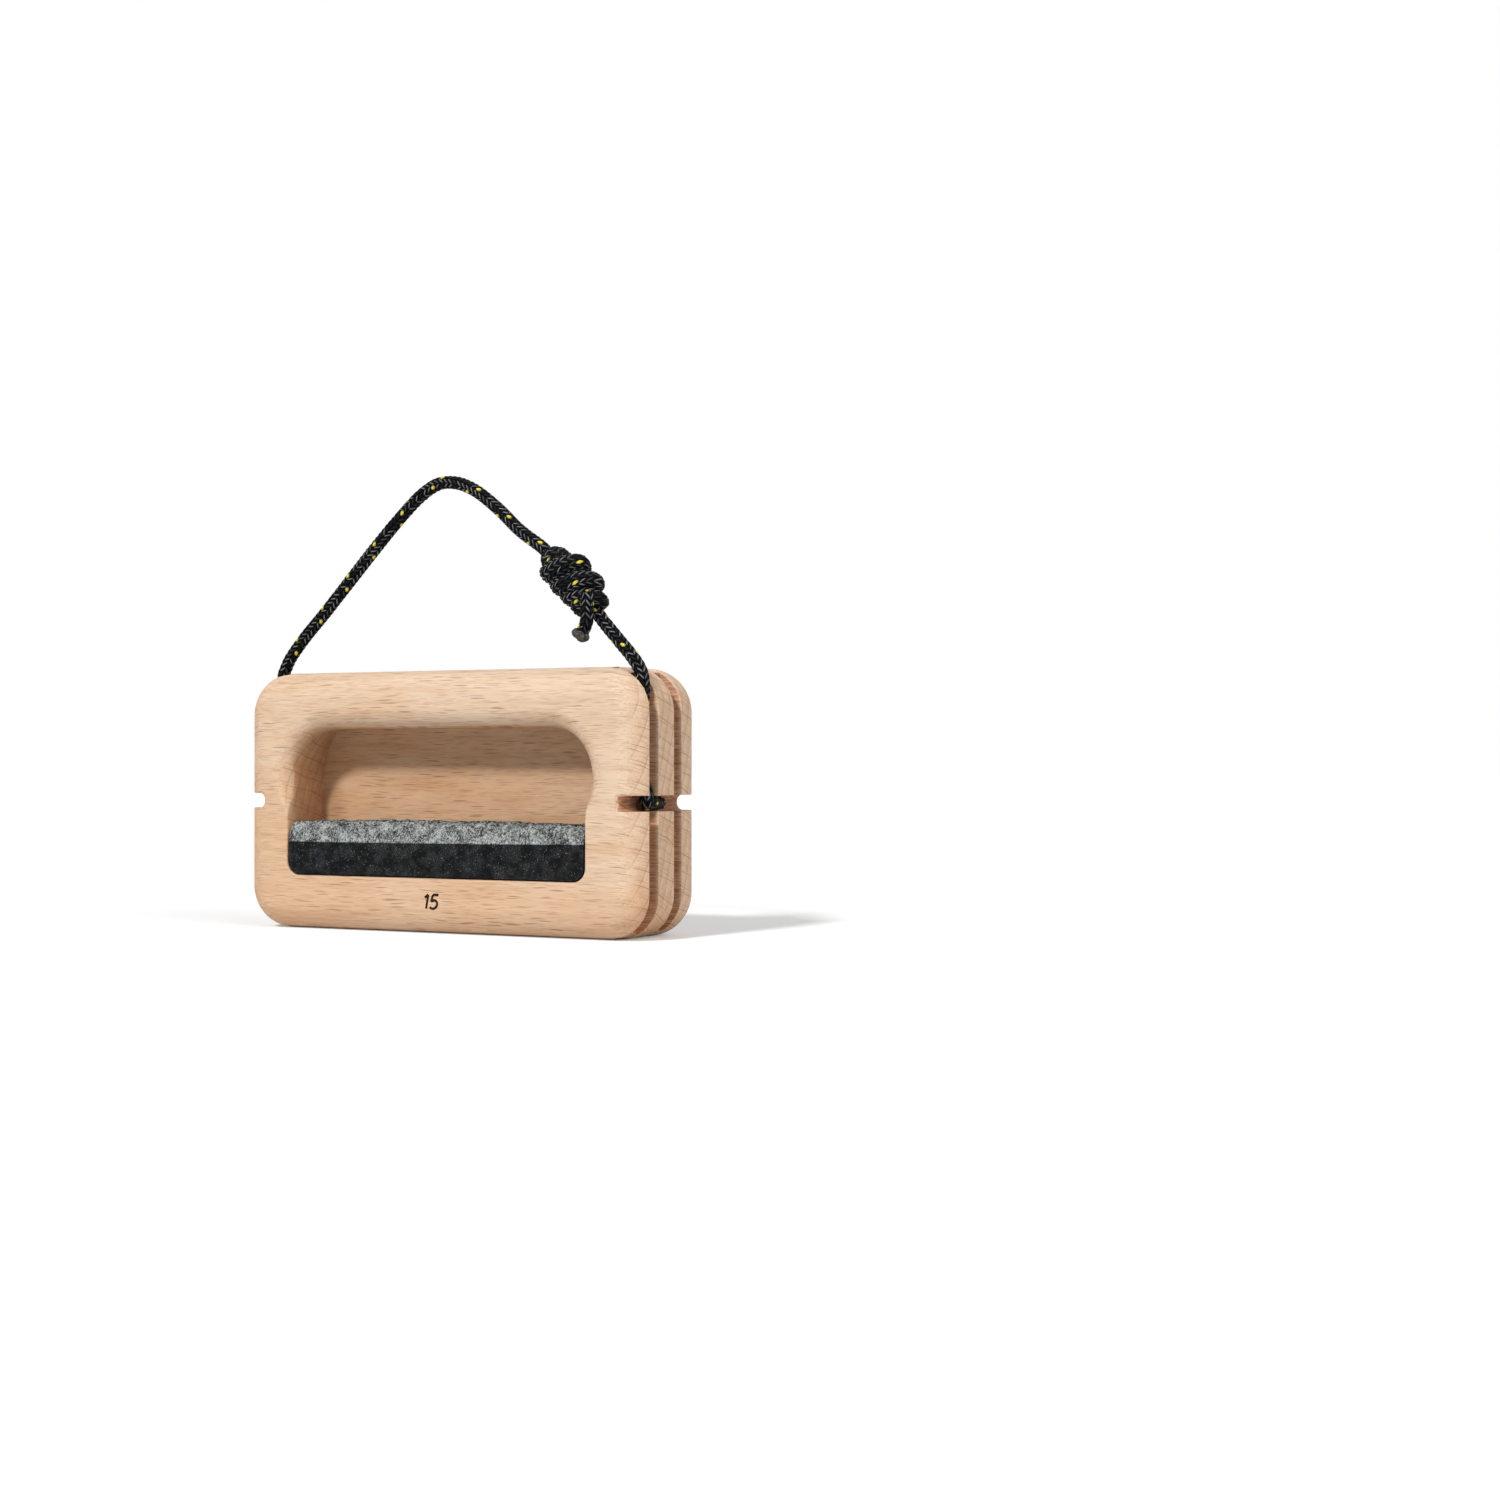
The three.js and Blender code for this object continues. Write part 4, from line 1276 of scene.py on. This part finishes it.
def make_stone():
    """The stone edge: across its length, a section that goes up the polished front, over the
    rough nose, back along the rough top and down. Rough parts are moved by layered noise."""
    base = POCKET_FLOOR + STONE_GAP
    left = POCKET_LEFT + STONE_GAP
    right = POCKET_RIGHT - STONE_GAP
    radius = POCKET_LOWER_RADIUS - STONE_GAP
    x = np.linspace(left, right, STONE_COLUMNS)[:, None]
    share = (x - POCKET_LEFT + OVERRUN) / (POCKET_WIDTH + 2 * OVERRUN)
    knots = np.linspace(0, 1, len(STONE_RIM_SHARES))
    rim = POCKET_FLOOR + STONE_RIM * np.interp(share, knots, STONE_RIM_SHARES)
    polished = POCKET_FLOOR + STONE_POLISHED * np.interp(share, knots, STONE_POLISHED_SHARES)
    from_end = np.minimum(x - left, right - x)
    to_end = np.clip(from_end, 0, radius)
    foot = base + radius - np.sqrt(radius**2 - (radius - to_end) ** 2)

    nose_in, nose_up = np.array(STONE_NOSE_SHARES).T
    nose_knots = np.linspace(0, 1, len(nose_in))
    back_y = POCKET_BACK - STONE_GAP
    floor_y = back_y + (-HALF_DEPTH - back_y) * np.linspace(0, 1, FLOOR_ROWS + 2)[1:-1]
    y = np.concatenate([
        np.full(FRONT_ROWS, -HALF_DEPTH),
        -HALF_DEPTH + STONE_NOSE * np.interp(rising(NOSE_ROWS), nose_knots, nose_in),
        -HALF_DEPTH + STONE_NOSE + (back_y + HALF_DEPTH - STONE_NOSE) * rising(TOP_ROWS),
        np.full(REAR_ROWS, back_y),
        floor_y,
    ])
    z = np.hstack([
        foot + (polished - foot) * np.linspace(0, 1, FRONT_ROWS),
        polished + (rim - polished) * np.interp(rising(NOSE_ROWS), nose_knots, nose_up),
        rim - STONE_BACK_DROP * rising(TOP_ROWS),
        rim - STONE_BACK_DROP + (foot - rim + STONE_BACK_DROP) * rising(REAR_ROWS),
        foot + 0 * floor_y,
    ])
    points = np.stack(np.broadcast_arrays(x, y, z), axis=-1)

    nose_end = FRONT_ROWS + NOSE_ROWS
    rough_end = nose_end + TOP_ROWS
    rough = np.zeros(z.shape)
    rough[:, FRONT_ROWS:rough_end] = 1
    fade = np.ones(z.shape)
    fade[:, FRONT_ROWS:FRONT_ROWS + FADE_IN_ROWS] = np.linspace(0.15, 1, FADE_IN_ROWS)
    fade[:, rough_end - FADE_OUT_ROWS:rough_end] = np.linspace(1, 0, FADE_OUT_ROWS)
    at_ends = np.clip(from_end / END_FADE, 0, 1)
    shift = rough * fade
    coarse = layered_noise(points * 0.6, seed=3, layers=3)
    fine = layered_noise(points * 2.2, seed=11, layers=3)
    (coarse_back, coarse_up), (fine_back, fine_up) = STONE_COARSE_RELIEF, STONE_FINE_RELIEF
    points[..., 1] += shift * at_ends * (fine_back * fine + coarse_back * np.abs(coarse))
    points[..., 2] += shift * (coarse_up * coarse + fine_up * fine)
    # The ends of the rough top round off towards the wood.
    near_end = np.clip(1 - from_end / END_ROUND, 0, 1)
    above = np.clip((points[..., 2] - polished) / 3, 0, 1)
    points[..., 2] -= END_ROUND * (1 - np.sqrt(1 - near_end**2)) * rough * above
    # Dark ragged patches from just under the crest back over the rough top
    crest = np.zeros(z.shape)
    crest[:, nose_end - CREST_ROWS:rough_end] = 1
    hollows = layered_noise(points * (0.9, 0.9, 1.6), seed=23, layers=3)
    crest *= np.clip(1.2 * hollows + 0.35, 0, 1)
    stone = ring_object("stone", points, STONE, {"rough": rough, "crest": crest})
    stone.data.set_sharp_from_angle(angle=STONE_SHARP_ANGLE)
    assign(stone, "stone", "block", "stone_edge")


make_stone()


# Floor, backdrop and light


def make_floor():
    """A white floor that keeps the block's shadow."""
    mesh = bpy.data.meshes.new("floor")
    square = [(-1, -1), (1, -1), (1, 1), (-1, 1)]
    mesh.from_pydata([(FLOOR_REACH * x, FLOOR_REACH * y, 0) for x, y in square], [], [(0, 1, 2, 3)])
    material, tree = new_material("floor")
    matt = tree.field("ShaderNodeBsdfDiffuse", 0, {"Color": FLOOR_WHITE})
    seen = tree.field("ShaderNodeLightPath", "Is Camera Ray")
    glow = tree.field("ShaderNodeEmission", 0, {"Strength": seen * FLOOR_GLOW})
    both = tree.field("ShaderNodeAddShader", 0, {0: matt, 1: glow})
    tree.finish("ShaderNodeOutputMaterial", both)
    mesh.materials.append(material)
    add_object("floor", mesh)


def make_world():
    """Soft light from all round, much brighter overhead, and plain white behind the object."""
    world = bpy.data.worlds.new("studio")
    bpy.context.scene.world = world
    tree = Tree(world)
    height = tree.axes(tree.field("ShaderNodeTexCoord", "Generated"))[2]
    sky = tree.blend(tree.ease(height, 0.1, 0.9), SKY_LOW, SKY_HIGH)
    light = tree.field("ShaderNodeBackground", 0, {"Color": sky, "Strength": 1.0})
    white = tree.field("ShaderNodeBackground", 0, {"Color": (1, 1, 1), "Strength": 1.0})
    seen = 0.0
    for ray in ("Camera", "Glossy", "Transmission"):
        seen = tree.math("MAXIMUM", tree.field("ShaderNodeLightPath", f"Is {ray} Ray"), seen)
    both = tree.field("ShaderNodeMixShader", 0, {0: seen, 1: light, 2: white})
    tree.finish("ShaderNodeOutputWorld", both)


def make_sun(name, towards, strength, spread):
    """A soft far lamp that shines from the direction given, spread over so many degrees."""
    data = bpy.data.lights.new(name, "SUN")
    data.energy = strength * math.pi
    data.angle = math.radians(spread)
    lamp = add_object(name, data)
    lamp.rotation_euler = Vector(towards).to_track_quat("Z", "Y").to_euler()


make_floor()
make_world()
make_sun("key", (-0.13, -1.0, 0.9), strength=0.74, spread=8)
make_sun("side", (1.0, -0.35, 0.55), strength=0.32, spread=40)

bpy.context.scene.view_settings.view_transform = "Standard"
